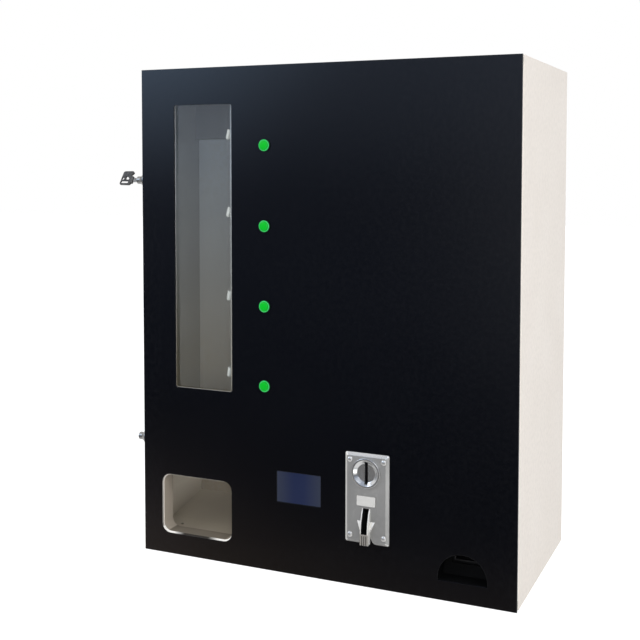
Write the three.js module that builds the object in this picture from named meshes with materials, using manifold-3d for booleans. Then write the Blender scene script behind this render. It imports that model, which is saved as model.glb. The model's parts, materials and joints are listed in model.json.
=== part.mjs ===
// A small snack vending machine for a counter or a wall, in millimetres.
// +X runs to the right along the front, +Y from the front to the back, +Z up.
// The origin is the centre of the base. Four spirals lie across the machine behind the
// door. Each one pushes its products to the left, where they fall down a shaft behind
// the window into the pick-up bin.
import * as THREE from "three";
import { mergeVertices } from "three/addons/utils/BufferGeometryUtils.js";
import Module from "manifold-3d";

// Whole machine
const width = 575;
const depth = 300;
const height = 730;
const wall = 2;
const innerSheet = 1.5;
const flange = 14;
const seatGap = 0.3;
const weld = 0.5;
const overrun = 1;
const rowCount = 4;
const rowTopShare = 0.8637;
const rowPitchShare = 0.15822;
const tipShare = 0.2226;
const coinShare = 0.6339;

// Front sheet and door pan, depths counted back from the front face
const fasciaSheet = 3;
const wallGap = 0.7;
const doorDepth = 28;
const doorGap = 2;
const panLip = 12;

// Window, its right edge counted from the spirals' tips, its ends from the outer rows
const windowLeft = 56;
const windowPast = 24;
const windowBelow = 28;
const windowAbove = 45.5;
const windowCorner = 2.5;
const paneRim = 5;
const paneSheet = 2;

// Pick-up mouth and bin, their right edges counted from the spirals' tips
const mouthLeft = 33;
const mouthBottom = 33;
const mouthPast = 21;
const mouthHeight = 87;
const mouthCorner = 12;
const binGap = 2;
const binPast = 28.8;
const binFrontHeight = 21;
const binBackHeight = 47;
const binLip = 10;
const binLeftWall = 110;

// Display
const displayToCoin = 140;
const displayBottom = 103;
const displayWidth = 69;
const displayHeight = 45;
const displayRecess = 0.6;
const displayRim = 5;
const displayBody = 5;
const displayBoardRim = 12;
const displayBoard = 1.6;
const displayPost = 2.5;
const displayPostInset = 6;

// Selection buttons
const buttonPast = 78;
const buttonDrop = 14.5;
const buttonCapRadius = 6.6;
const buttonReach = 5;
const buttonChamfer = 0.7;
const buttonRingWall = 1.9;
const buttonRingReach = 3;
const buttonRingChamfer = 0.9;
const buttonSeat = 2;
const buttonTravel = 3;
const buttonStem = 5.5;
const buttonBarrel = 8;
const buttonBarrelLength = 16;
const buttonBlock = 13;
const buttonBlockLength = 8;
const buttonNut = 11;
const buttonNutLength = 3;
const slideGap = 0.3;

// Coin unit on the door, measured from the centre of its face plate
const coinZ = 125.7;
const plateWidth = 65;
const plateHeight = 127;
const plateEdge = 1;
const plateRise = 4;
const plateBevel = 4;
const plateCorner = 3;
const plateInnerCorner = 2;
const bezelZ = 37;
const bezelRadius = 21;
const bezelRimRadius = 17.8;
const bezelRise = 3.6;
const bezelBarrel = 16.5;
const coneRadius = 5;
const coneDepth = 4;
const coinSlotWidth = 3.2;
const coinSlotHeight = 31.5;
const returnZ = -2.6;
const returnWidth = 27.4;
const returnHeight = 14;
const returnReach = 1.5;
const returnTravel = 3;
const returnStem = 5;
const returnCorner = 1;
const spoutTop = -13;
const spoutBend = -47;
const spoutBottom = -62.5;
const spoutReach = 9;
const spoutWidth = 12;
const spoutSlot = 8.5;
const fluteRadius = 0.9;
const fluteCount = 3;
const cheekTop = -31;
const cheekReach = 13;
const cheekFront = 1;
const cheekWall = 2;
const plateNotchTop = -53;
const plateNotchHalf = 12;
const mechWidth = 52;
const mechHeight = 112;
const mechDepth = 60;
const mechTopDepth = 42;
const mechChamfer = 18;
const mechChannel = 3.4;
const mechPocketDepth = 22;
const mechCover = 1.5;
const mechCoverInset = 6;
const mechDial = 6;
const mechDialReach = 3;
const mechPlug = 8;
const mechHoleGap = 1;

// Change cup in the door and change hopper behind it
const cupFromRight = 74.5;
const cupBottom = 27;
const cupRadius = 34.5;
const cupSpring = 4.5;
const cupWall = 1.5;
const cupDepth = 26;
const cupFlange = 4;
const cupSlotWidth = 44;
const cupSlotHeight = 14;
const cupSlotDrop = 8;
const hopperWidth = 84;
const hopperFront = 38;
const hopperDepth = 96;
const hopperBase = 74;
const hopperTop = 150;
const hopperFlare = 8;
const hopperWall = 2;
const hopperFloor = 10;
const hopperFoot = 6;
const noseReach = 6;
const noseHeight = 10;
const noseWidth = 40;

// Hinge along the right edge
const knuckleRadius = 2.5;
const hingePin = 1.2;
const hingeBoreGap = 0.12;
const knuckleGap = 0.4;
const knuckleCount = 9;
const leafSheet = 1.2;
const leafWidth = 19;
const hingeEnd = 14;
const hingeSwingRoom = 3.6;
const hingeNotch = 6;

// Locks in the left edge of the door
const upperLockDrop = 65.5;
const lowerLockZ = 171;
const lockDepth = 14;
const lockTip = 5.8;
const lockBase = 12;
const lockReach = 16.5;
const lockTipLength = 6;
const lockRim = 2;
const lockHeadGap = 0.6;
const lockBarrel = 8.5;
const lockBarrelEnd = 16;
const lockClip = 12;
const lockClipFront = 6;
const lockClipSheet = 2;
const lockPlug = 4.6;
const lockStud = 3;
const lockStudLength = 4;
const lockSlotGap = 0.6;
const camReach = 34;
const camHalf = 5;
const camSheet = 2;
const catchGap = 0.6;
const catchSheet = 2;
const catchStart = 13;
const catchHeight = 30;
const catchReach = 21;
const catchRelief = 3;

// Key in the upper lock
const keyTilt = Math.PI / 5;
const keySheet = 2;
const keyHalf = 3.4;
const keyDeep = 12;
const keyNeck = 9;
const bowWidth = 25;
const bowLength = 22;
const bowRise = 3.5;
const bowShoulder = 6;
const bowNeck = 5;
const bowSheet = 4.6;
const bowCorner = 3;
const bowSlotLength = 13;
const bowSlotWidth = 3;
const bowSlotRim = 3;
const bowHole = 1.9;
const bowSocket = 4;
const toothDepth = 1.2;
const toothCount = 4;
const toothPitch = 3.2;

// Spirals
const coilRadius = 44;
const wireRadius = 2;
const coilTurns = 8;
const coilSteps = 8;
const wireSides = 5;
const tipDepth = 40;
const tipRun = 12;
const tipCapRadius = 3.5;
const tipCapLength = 15;
const restTurnShares = [0.035, 0.035, 0.0, 0.0];

// Trays, their front post and the motor plate
const trayPast = 6;
const trayFront = 34;
const traySheet = 1.5;
const trayClearance = 1.5;
const trayFrontLip = 20;
const trayRail = 26;
const trayRailGap = 2;
const trayBackLip = 14;
const postPast = 5.5;
const postWidth = 20;
const postSheet = 2;
const postBelow = 58;
const plateFromRight = 93;
const plateBelow = 69;
const shaftHole = 9;

// Hubs and gear motors
const hubRadius = 26;
const hubSheet = 8;
const hubBoss = 8;
const hubShaft = 4;
const hubShaftBite = 8;
const hubArm = 12;
const hubRoom = 26;
const hubLug = 5;
const hubLugDeep = 10;
const gearboxLength = 62;
const gearboxWidth = 42;
const gearboxSheet = 22;
const gearboxCorner = 6;
const motorCan = 13;
const motorCanLength = 32;
const motorCanDrop = 14;
const motorTail = 4;
const motorTailLength = 4;
const switchLength = 20;
const switchWidth = 10;
const switchSheet = 6;

// Lining behind the products
const linerDepth = 166;
const linerDrop = 0.5;
const coverStep = 11;
const cableHole = 12;
const cableHoleRight = 40;
const cableHoleZ = 190;

// Back panel
const ventCount = 9;
const ventRows = 2;
const ventWidth = 5;
const ventHeight = 56;
const ventPitch = 14;
const ventDrop = 90;
const ventRowPitch = 76;
const keyholeInset = 97.5;
const keyholeDrop = 62;
const keyholeHead = 7;
const keyholeNeck = 3.5;
const keyholeRise = 14;
const inletFromRight = 70;
const inletZ = 62;
const inletWidth = 28;
const inletHeight = 48;
const inletDepth = 26;
const inletFlange = 6;
const inletFlangeSheet = 2.5;
const socketWidth = 16.6;
const socketHeight = 24.6;
const socketDepth = 17;
const socketCorner = 5;
const pinLong = 4;
const pinSheet = 2;
const pinReach = 13;
const pinSide = 7;
const pinOffset = 2;

// Cash box
const cashBeforeCoin = 72.5;
const cashToCup = 76.5;
const cashFront = 34;
const cashDepth = 118;
const cashHeight = 54;
const cashPullWidth = 60;
const cashPullReach = 3;
const cashPullHeight = 12;

// Electronics
const boardOffset = 42.5;
const boardDrop = 70;
const boardWidth = 150;
const boardHeight = 100;
const boardSheet = 1.6;
const boardPost = 3;
const boardPostLength = 8;
const boardPostInset = 8;
const relaySize = 16;
const relayReach = 14;
const relayCount = 4;
const relayPitch = 24;
const headerWidth = 90;
const headerHeight = 10;
const headerReach = 9;
const chipSize = 20;
const chipReach = 3;
const canRadius = 7;
const canReach = 18;
const supplyFromRight = 213;
const supplyDepth = 200;
const supplyWidth = 110;
const supplyLength = 78;
const supplyHeight = 36;
const supplyFoot = 10;
const supplyFootSheet = 2;
const supplyGrooves = 6;
const supplyGroove = 3;
const supplyGrooveDepth = 1;

// Facets
const roundSides = 24;
const smallSides = 12;
const cornerSteps = 4;

const wasm = await Module();
wasm.setup();

// Places counted from the left side and back from the front face
const fromLeft = (x) => x - width / 2;
const behind = (d) => d - depth / 2;

// Places across the machine
const tipX = width * tipShare;
const coinX = width * coinShare;
const cupX = width - cupFromRight;
const plateX = width - plateFromRight;
const coilPitch = (plateX - hubRoom - tipX) / coilTurns;
const windowWidth = tipX + windowPast - windowLeft;
const mouthWidth = tipX + mouthPast - mouthLeft;
const displayLeft = coinX - displayToCoin;
const buttonX = tipX + buttonPast;

// Places up the machine, the rows counted from the top one down
const rowPitch = height * rowPitchShare;
const spiralTop = height * rowTopShare;
const spiralLow = spiralTop - (rowCount - 1) * rowPitch;
const buttonTop = spiralTop - buttonDrop;
const windowBottom = spiralLow - windowBelow;
const windowHeight = spiralTop + windowAbove - windowBottom;
const upperLockZ = spiralTop - upperLockDrop;
const linerTop = spiralTop - linerDrop;
const boardZ = linerTop - boardDrop;

// Depths and places that several pieces share
const coverDepth = linerDepth - coverStep;
const panFront = fasciaSheet + seatGap;
const panInside = panFront + innerSheet;
const wallFront = fasciaSheet + wallGap;
const panLeft = wall + doorGap;
const hingeX = width - knuckleRadius;
const hingeDepth = fasciaSheet + knuckleGap + knuckleRadius;
const rightWallFront = hingeDepth + hingeSwingRoom;
const panRight = hingeX - knuckleRadius - seatGap;
const backInside = depth - innerSheet - seatGap;
const coilDepth = tipDepth + coilRadius;
const coilOuter = coilRadius + wireRadius;
const plateFace = plateEdge + plateRise;
const roof = height - wall - seatGap;
const ground = wall + seatGap;

// Solids and shapes

function solid(geometry) {
  const bare = geometry.clone();
  bare.deleteAttribute("normal");
  bare.deleteAttribute("uv");
  const merged = mergeVertices(bare);
  const triVerts = new Uint32Array(merged.index.array);
  const vertProperties = merged.attributes.position.array;
  const made = new wasm.Manifold(new wasm.Mesh({ numProp: 3, vertProperties, triVerts }));
  if (made.volume() > 0) return made;
  for (let i = 0; i < triVerts.length; i += 3) {
    const first = triVerts[i];
    triVerts[i] = triVerts[i + 1];
    triVerts[i + 1] = first;
  }
  return new wasm.Manifold(new wasm.Mesh({ numProp: 3, vertProperties, triVerts }));
}

function join(...solids) {
  return solids.reduce((all, next) => all.add(next));
}

function cut(base, ...tools) {
  return tools.reduce((rest, tool) => rest.subtract(tool), base);
}

function block(x0, x1, y0, y1, z0, z1) {
  const box = new THREE.BoxGeometry(x1 - x0, y1 - y0, z1 - z0);
  return solid(box.translate((x0 + x1) / 2, (y0 + y1) / 2, (z0 + z1) / 2));
}

// An outline drawn in x and z is extruded along y, one in y and z along x, one in x and y along z
const alongAxis = {
  x: new THREE.Matrix4().set(0, 0, 1, 0, 1, 0, 0, 0, 0, 1, 0, 0, 0, 0, 0, 1),
  y: new THREE.Matrix4().set(1, 0, 0, 0, 0, 0, -1, 0, 0, 1, 0, 0, 0, 0, 0, 1),
  z: new THREE.Matrix4(),
};

function prism(axis, outline, from, to, holes = []) {
  const shape = new THREE.Shape(outline);
  for (const hole of holes) shape.holes.push(new THREE.Path(hole));
  const options = { depth: to - from, bevelEnabled: false, curveSegments: 1 };
  const geometry = new THREE.ExtrudeGeometry(shape, options).applyMatrix4(alongAxis[axis]);
  if (axis === "x") geometry.translate(from, 0, 0);
  if (axis === "y") geometry.translate(0, to, 0);
  if (axis === "z") geometry.translate(0, 0, from);
  return solid(geometry);
}

function arc(cx, cy, radius, start, end, steps) {
  const points = [];
  for (let i = 0; i <= steps; i += 1) {
    const angle = start + ((end - start) * i) / steps;
    points.push(new THREE.Vector2(cx + radius * Math.cos(angle), cy + radius * Math.sin(angle)));
  }
  return points;
}

function circle(cx, cy, radius, sides = roundSides) {
  return arc(cx, cy, radius, 0, 2 * Math.PI, sides).slice(0, sides);
}

function rectangle(x0, x1, y0, y1) {
  return [
    new THREE.Vector2(x0, y0),
    new THREE.Vector2(x1, y0),
    new THREE.Vector2(x1, y1),
    new THREE.Vector2(x0, y1),
  ];
}

function roundedRectangle(x0, x1, y0, y1, radius, steps = cornerSteps) {
  const quarter = Math.PI / 2;
  return [
    ...arc(x1 - radius, y1 - radius, radius, 0, quarter, steps),
    ...arc(x0 + radius, y1 - radius, radius, quarter, 2 * quarter, steps),
    ...arc(x0 + radius, y0 + radius, radius, 2 * quarter, 3 * quarter, steps),
    ...arc(x1 - radius, y0 + radius, radius, 3 * quarter, 4 * quarter, steps),
  ];
}

function hexagon(cx, cy, acrossFlats) {
  return circle(cx, cy, acrossFlats / Math.cos(Math.PI / 6), 6);
}

// A solid of revolution about the Y or X axis, its profile given as radius and place along the axis
function revolve(axis, profile, sides = roundSides) {
  const points = profile.map(([radius, place]) => new THREE.Vector2(radius, place));
  const geometry = new THREE.LatheGeometry(points, sides);
  if (axis === "x") geometry.rotateZ(-Math.PI / 2);
  return solid(geometry);
}

// A skin over rings with equal numbers of points, closed by a flat fan at each end
function loft(rings) {
  const count = rings[0].length;
  const positions = rings.flat(2);
  const index = [];
  for (let ring = 0; ring + 1 < rings.length; ring += 1) {
    for (let i = 0; i < count; i += 1) {
      const a = ring * count + i;
      const b = ring * count + ((i + 1) % count);
      index.push(a, b, b + count, a, b + count, a + count);
    }
  }
  const last = (rings.length - 1) * count;
  for (let i = 1; i + 1 < count; i += 1) {
    index.push(0, i + 1, i);
    index.push(last, last + i, last + i + 1);
  }
  const geometry = new THREE.BufferGeometry();
  geometry.setAttribute("position", new THREE.Float32BufferAttribute(positions, 3));
  geometry.setIndex(index);
  return solid(geometry);
}

// Materials
const finish = (color, roughness, metalness) =>
  new THREE.MeshStandardMaterial({ color, roughness, metalness });
const paleSteel = finish(0xe9e2da, 0.5, 0.1);
const innerSteel = finish(0xb9b6ae, 0.5, 0.4);
const blackSheet = finish(0x17181c, 0.12, 0.0);
const clearSheet = new THREE.MeshStandardMaterial({
  color: 0xdfe8ea,
  roughness: 0.05,
  metalness: 0,
  transparent: true,
  opacity: 0.3,
});
const displayGlass = finish(0x2b2e48, 0.15, 0);
const greenCap = finish(0x08b83a, 0.3, 0);
const blackPlastic = finish(0x141416, 0.35, 0);
const castZinc = finish(0x9a9894, 0.35, 0.8);
const chrome = finish(0xd8d8d8, 0.1, 1);
const whitePlastic = finish(0xeeeeea, 0.4, 0);
const steel = finish(0xa8a8a6, 0.35, 0.9);
const boardGreen = finish(0x1e5b34, 0.5, 0);

const machine = new THREE.Group();
const door = new THREE.Group();
machine.add(door);

function place(name, body, material, group = machine) {
  const made = body.getMesh();
  const geometry = new THREE.BufferGeometry();
  geometry.setAttribute("position", new THREE.BufferAttribute(made.vertProperties, made.numProp));
  geometry.setIndex(new THREE.BufferAttribute(made.triVerts, 1));
  geometry.computeVertexNormals();
  const mesh = new THREE.Mesh(geometry, material.clone());
  mesh.name = name;
  group.add(mesh);
  return mesh;
}

// Cabinet

function cabinetWrap() {
  const x = width / 2;
  const outer = rectangle(-x, x, 0, height);
  const inner = rectangle(wall - x, x - wall, wall, height - wall);
  const shell = prism("y", outer, behind(wallFront), behind(depth), [inner]);
  const flangeBack = depth - innerSheet - seatGap;
  const flangeRim = rectangle(wall - weld - x, x - wall + weld, wall - weld, height - wall + weld);
  const flangeHole = rectangle(
    wall + flange - x,
    x - wall - flange,
    wall + flange,
    height - wall - flange,
  );
  const frame = prism("y", flangeRim, behind(flangeBack - innerSheet), behind(flangeBack), [
    flangeHole,
  ]);
  const hingeSetBack = block(
    x - wall - weld,
    x + overrun,
    behind(0),
    behind(rightWallFront),
    -overrun,
    height + overrun,
  );
  const hingeCorners = block(
    x - hingeNotch,
    x + overrun,
    behind(0),
    behind(rightWallFront),
    -overrun,
    height + overrun,
  );
  const slot = lockBarrel + lockSlotGap;
  const slots = [upperLockZ, lowerLockZ].map((z) =>
    prism(
      "x",
      [
        new THREE.Vector2(behind(0), z - slot),
        ...arc(behind(lockDepth), z, slot, -Math.PI / 2, Math.PI / 2, smallSides),
        new THREE.Vector2(behind(0), z + slot),
      ],
      -x - overrun,
      wall - x + overrun,
    ),
  );
  const catchBack = lockDepth - camHalf - catchGap;
  const catches = [upperLockZ, lowerLockZ].map((z) =>
    block(
      wall - x - weld,
      catchReach - x,
      behind(catchBack - catchSheet),
      behind(catchBack),
      z + catchStart,
      z + catchStart + catchHeight,
    ),
  );
  return cut(join(shell, frame, ...catches), hingeSetBack, hingeCorners, ...slots);
}

function keyhole(x, z) {
  const half = Math.asin(keyholeNeck / keyholeHead);
  const down = -Math.PI / 2;
  const head = arc(x, z - keyholeRise, keyholeHead, down + Math.PI - half, down - Math.PI + half, 20);
  return [...head, ...arc(x, z, keyholeNeck, Math.PI, 0, 8)];
}

function backPanel() {
  const x = width / 2 - wall - seatGap;
  const holes = [];
  for (const side of [-1, 1]) holes.push(keyhole(side * (width / 2 - keyholeInset), height - keyholeDrop));
  for (let row = 0; row < ventRows; row += 1) {
    for (let i = 0; i < ventCount; i += 1) {
      const vx = (i - (ventCount - 1) / 2) * ventPitch;
      const top = height - ventDrop - row * ventRowPitch;
      const half = ventWidth / 2;
      holes.push(roundedRectangle(vx - half, vx + half, top - ventHeight, top, half, 2));
    }
  }
  const cx = fromLeft(width - inletFromRight);
  holes.push(
    rectangle(
      cx - inletWidth / 2 - seatGap,
      cx + inletWidth / 2 + seatGap,
      inletZ - inletHeight / 2 - seatGap,
      inletZ + inletHeight / 2 + seatGap,
    ),
  );
  const outline = rectangle(-x, x, ground, roof);
  return prism("y", outline, behind(depth - innerSheet), behind(depth), holes);
}

function backLiner() {
  const x = width / 2 - wall - seatGap;
  const cableX = fromLeft(width - cableHoleRight);
  const face = prism(
    "y",
    rectangle(-x, x, ground, linerTop),
    behind(linerDepth),
    behind(linerDepth + innerSheet),
    [circle(cableX, cableHoleZ, cableHole)],
  );
  const back = linerDepth + innerSheet + flange;
  const sides = [-1, 1].map((side) => {
    const outer = side * x;
    const inner = side * (x - innerSheet);
    const [x0, x1] = [Math.min(outer, inner), Math.max(outer, inner)];
    return block(x0, x1, behind(linerDepth), behind(back), ground, linerTop);
  });
  const top = block(-x, x, behind(linerDepth), behind(back), linerTop - innerSheet, linerTop);
  return join(face, top, ...sides);
}

function upperCover() {
  const x0 = fromLeft(wall + seatGap);
  const x1 = fromLeft(plateX - seatGap);
  const bottom = linerTop + seatGap;
  const back = linerDepth + flange;
  return join(
    block(x0, x1, behind(coverDepth), behind(coverDepth + innerSheet), bottom, roof),
    block(x0, x1, behind(coverDepth), behind(back), bottom, bottom + innerSheet),
    block(x0, x1, behind(coverDepth), behind(coverDepth + flange), roof - innerSheet, roof),
  );
}

// Door

function panOpening(margin) {
  return roundedRectangle(
    fromLeft(mouthLeft - margin),
    fromLeft(mouthLeft + mouthWidth + margin),
    mouthBottom - margin,
    mouthBottom + mouthHeight + margin,
    mouthCorner + margin,
  );
}

function arch(margin) {
  const x = fromLeft(cupX);
  const z = cupBottom + cupSpring;
  const low = cupBottom - margin;
  return [
    new THREE.Vector2(x - cupRadius - margin, low),
    new THREE.Vector2(x + cupRadius + margin, low),
    ...arc(x, z, cupRadius + margin, 0, Math.PI, roundSides / 2),
  ];
}

function rectangleAt(cx, cz, wide, high) {
  return rectangle(cx - wide / 2, cx + wide / 2, cz - high / 2, cz + high / 2);
}

const buttonRows = Array.from({ length: rowCount }, (_, i) => buttonTop - i * rowPitch);
const spiralRows = Array.from({ length: rowCount }, (_, i) => spiralTop - i * rowPitch);
const displayX = fromLeft(displayLeft + displayWidth / 2);
const displayZ = displayBottom + displayHeight / 2;

function fasciaPiece() {
  const x = width / 2;
  const holes = [
    windowOutline(0),
    panOpening(innerSheet),
    rectangleAt(displayX, displayZ, displayWidth, displayHeight),
    rectangleAt(
      fromLeft(coinX),
      coinZ,
      mechWidth + 2 * mechHoleGap,
      mechHeight + 2 * mechHoleGap,
    ),
    arch(0),
    ...buttonRows.map((z) => circle(fromLeft(buttonX), z, buttonBarrel + slideGap)),
  ];
  return prism("y", rectangle(-x, x, 0, height), behind(0), behind(fasciaSheet), holes);
}

function windowOutline(margin) {
  return roundedRectangle(
    fromLeft(windowLeft - margin),
    fromLeft(windowLeft + windowWidth + margin),
    windowBottom - margin,
    windowBottom + windowHeight + margin,
    windowCorner + margin,
    2,
  );
}

function doorPan() {
  const x0 = fromLeft(panLeft);
  const x1 = fromLeft(panRight);
  const z0 = wall + doorGap;
  const z1 = height - wall - doorGap;
  const outline = rectangle(x0, x1, z0, z1);
  const inside = rectangle(x0 + innerSheet, x1 - innerSheet, z0 + innerSheet, z1 - innerSheet);
  const lipHole = rectangle(x0 + panLip, x1 - panLip, z0 + panLip, z1 - panLip);
  const displayRoom = 2 * (displayRim + seatGap);
  const face = prism("y", outline, behind(panFront), behind(panInside), [
    windowOutline(0),
    panOpening(0),
    rectangleAt(displayX, displayZ, displayWidth + displayRoom, displayHeight + displayRoom),
    rectangleAt(
      fromLeft(coinX),
      coinZ,
      mechWidth + 2 * mechHoleGap,
      mechHeight + 2 * mechHoleGap,
    ),
    arch(cupWall + seatGap),
    ...buttonRows.map((z) => circle(fromLeft(buttonX), z, buttonBarrel + slideGap)),
  ]);
  const returns = prism("y", outline, behind(panFront), behind(doorDepth), [inside]);
  const lips = prism("y", outline, behind(doorDepth - innerSheet), behind(doorDepth), [lipHole]);
  const collar = prism("y", panOpening(innerSheet), behind(panFront), behind(doorDepth), [
    panOpening(0),
  ]);
  const lockHoles = [upperLockZ, lowerLockZ].map((z) =>
    prism(
      "x",
      circle(behind(lockDepth), z, lockBarrel + slideGap),
      x0 - overrun,
      x0 + innerSheet + overrun,
    ),
  );
  const catchRooms = [upperLockZ, lowerLockZ].map((z) =>
    block(
      x0 - overrun,
      x0 + panLip + overrun,
      behind(panInside),
      behind(doorDepth + overrun),
      z + catchStart - catchRelief,
      z + catchStart + catchHeight + catchRelief,
    ),
  );
  return cut(join(face, returns, lips, collar), ...lockHoles, ...catchRooms);
}

function windowPane() {
  const front = panInside + seatGap;
  return prism("y", windowOutline(paneRim), behind(front), behind(front + paneSheet));
}

function displayModule() {
  const glass = rectangleAt(
    displayX,
    displayZ,
    displayWidth - 2 * seatGap,
    displayHeight - 2 * seatGap,
  );
  const rim = rectangleAt(
    displayX,
    displayZ,
    displayWidth + 2 * displayRim,
    displayHeight + 2 * displayRim,
  );
  const boardWide = displayWidth + 2 * displayBoardRim;
  const boardHigh = displayHeight + 2 * displayBoardRim;
  const board = rectangleAt(displayX, displayZ, boardWide, boardHigh);
  const bodyBack = panFront + displayBody;
  const posts = [];
  for (const sx of [-1, 1]) {
    for (const sz of [-1, 1]) {
      const px = displayX + sx * (boardWide / 2 - displayPostInset);
      const pz = displayZ + sz * (boardHigh / 2 - displayPostInset);
      const post = circle(px, pz, displayPost, smallSides);
      posts.push(prism("y", post, behind(panInside + seatGap), behind(bodyBack + weld)));
    }
  }
  return join(
    prism("y", glass, behind(displayRecess), behind(panFront + weld)),
    prism("y", rim, behind(panFront), behind(bodyBack + weld)),
    prism("y", board, behind(bodyBack), behind(bodyBack + displayBoard)),
    ...posts,
  );
}

// Buttons are modelled round their own axis, with the front face at zero and outward along -Y

function buttonCap() {
  const rear = buttonSeat - buttonTravel - slideGap;
  const crown = buttonCapRadius - buttonChamfer;
  return revolve("y", [
    [0, -buttonReach],
    [crown, -buttonReach],
    [buttonCapRadius, buttonChamfer - buttonReach],
    [buttonCapRadius, rear],
    [buttonStem, rear],
    [buttonStem, buttonStem],
    [0, buttonStem],
  ]);
}

function buttonBody() {
  const ring = buttonCapRadius + slideGap;
  const outer = ring + buttonRingWall;
  const bore = buttonStem + slideGap;
  const boreEnd = buttonStem + buttonTravel + slideGap;
  const turned = revolve("y", [
    [ring, -buttonRingReach],
    [outer - buttonRingChamfer, -buttonRingReach],
    [outer, buttonRingChamfer - buttonRingReach],
    [outer, 0],
    [buttonBarrel, 0],
    [buttonBarrel, buttonBarrelLength],
    [0, buttonBarrelLength],
    [0, boreEnd],
    [bore, boreEnd],
    [bore, buttonSeat],
    [ring, buttonSeat],
    [ring, -buttonRingReach],
  ]);
  const nutFront = panInside + seatGap;
  const nut = prism("y", hexagon(0, 0, buttonNut), nutFront, nutFront + buttonNutLength, [
    circle(0, 0, buttonBarrel - weld),
  ]);
  const half = buttonBlock / 2;
  const blockFront = buttonBarrelLength - weld;
  const blockBack = buttonBarrelLength + buttonBlockLength;
  return join(turned, nut, block(-half, half, blockFront, blockBack, -half, half));
}

function onFront(mesh, x, z) {
  mesh.position.set(fromLeft(x), behind(0), z);
}

// Coin unit, modelled round the centre of the face plate with the door's front face at zero

function facePlate() {
  const ring = (inset, corner, y) =>
    roundedRectangle(
      inset - plateWidth / 2,
      plateWidth / 2 - inset,
      inset - plateHeight / 2,
      plateHeight / 2 - inset,
      corner,
    ).map((p) => [p.x, y, p.y]);
  const plate = loft([
    ring(0, plateCorner, 0),
    ring(0, plateCorner, -plateEdge),
    ring(plateBevel, plateInnerCorner, -plateFace),
  ]);
  const front = -plateFace - spoutReach;
  const inside = weld - plateFace;
  // The nose swings out from the plate on an arc and drops straight down in front
  const drop = spoutTop - spoutBend;
  const swing = (spoutReach * spoutReach + drop * drop) / (2 * spoutReach);
  const sweep = Math.asin(drop / swing);
  const nose = prism(
    "x",
    [
      new THREE.Vector2(inside, spoutTop),
      ...arc(front + swing, spoutBend, swing, Math.PI - sweep, Math.PI, 8),
      new THREE.Vector2(front, spoutBottom),
      new THREE.Vector2(inside, spoutBottom),
    ],
    -spoutWidth / 2,
    spoutWidth / 2,
  );
  const cheek = (side) => {
    const near = (side * spoutWidth) / 2 - side * weld;
    const wingFront = -plateFace - cheekFront;
    const deep = cheekTop - cheekWall;
    return loft([
      [
        [near, inside, cheekTop],
        [side * cheekReach, inside, cheekTop],
        [near, inside, spoutBend],
      ],
      [
        [near, wingFront, deep],
        [side * cheekReach, wingFront, cheekTop],
        [near, front + cheekWall, spoutBend],
      ],
    ]);
  };
  const throat = block(
    -spoutSlot / 2,
    spoutSlot / 2,
    front - overrun,
    overrun,
    spoutBend,
    spoutTop,
  );
  const flutes = Array.from({ length: fluteCount }, (_, i) => {
    const x = (i - (fluteCount - 1) / 2) * (spoutWidth / (fluteCount + 1));
    return prism("z", circle(x, front, fluteRadius, 8), spoutBottom - overrun, spoutBend - cheekWall);
  });
  const notch = prism(
    "y",
    [
      new THREE.Vector2(-plateNotchHalf, -plateHeight / 2 - overrun),
      new THREE.Vector2(plateNotchHalf, -plateHeight / 2 - overrun),
      new THREE.Vector2(spoutWidth / 2, plateNotchTop),
      new THREE.Vector2(-spoutWidth / 2, plateNotchTop),
    ],
    -plateFace - weld,
    overrun,
  );
  const bezelHole = prism("y", circle(0, bezelZ, bezelBarrel + seatGap), -plateFace - overrun, overrun);
  const returnHole = prism(
    "y",
    roundedRectangle(
      -returnWidth / 2 - slideGap,
      returnWidth / 2 + slideGap,
      returnZ - returnHeight / 2 - slideGap,
      returnZ + returnHeight / 2 + slideGap,
      returnCorner,
      2,
    ),
    -plateFace - overrun,
    overrun,
  );
  const spouted = cut(join(cut(plate, notch), nose, cheek(-1), cheek(1)), throat, ...flutes);
  return cut(spouted, bezelHole, returnHole);
}

function coinBezel() {
  const seat = -plateFace - seatGap;
  const rim = seat - bezelRise;
  const mechFront = -seatGap;
  const turned = revolve("y", [
    [0, rim + coneDepth],
    [coneRadius, rim + coneDepth],
    [bezelRimRadius, rim + weld],
    [bezelRimRadius + weld, rim],
    [bezelRadius - weld, rim],
    [bezelRadius, seat],
    [bezelBarrel, seat],
    [bezelBarrel, mechFront],
    [0, mechFront],
  ]);
  const slot = block(
    -coinSlotWidth / 2,
    coinSlotWidth / 2,
    rim - overrun,
    overrun,
    -coinSlotHeight / 2,
    coinSlotHeight / 2,
  );
  return cut(turned, slot);
}

function coinReturnButton() {
  const outline = roundedRectangle(
    -returnWidth / 2,
    returnWidth / 2,
    -returnHeight / 2,
    returnHeight / 2,
    returnCorner,
    2,
  );
  const back = returnStem - plateEdge;
  return join(
    prism("y", outline, -plateFace - returnReach, -seatGap),
    prism("y", rectangleAt(0, 0, returnStem, returnStem), -seatGap - weld, back),
  );
}

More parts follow.
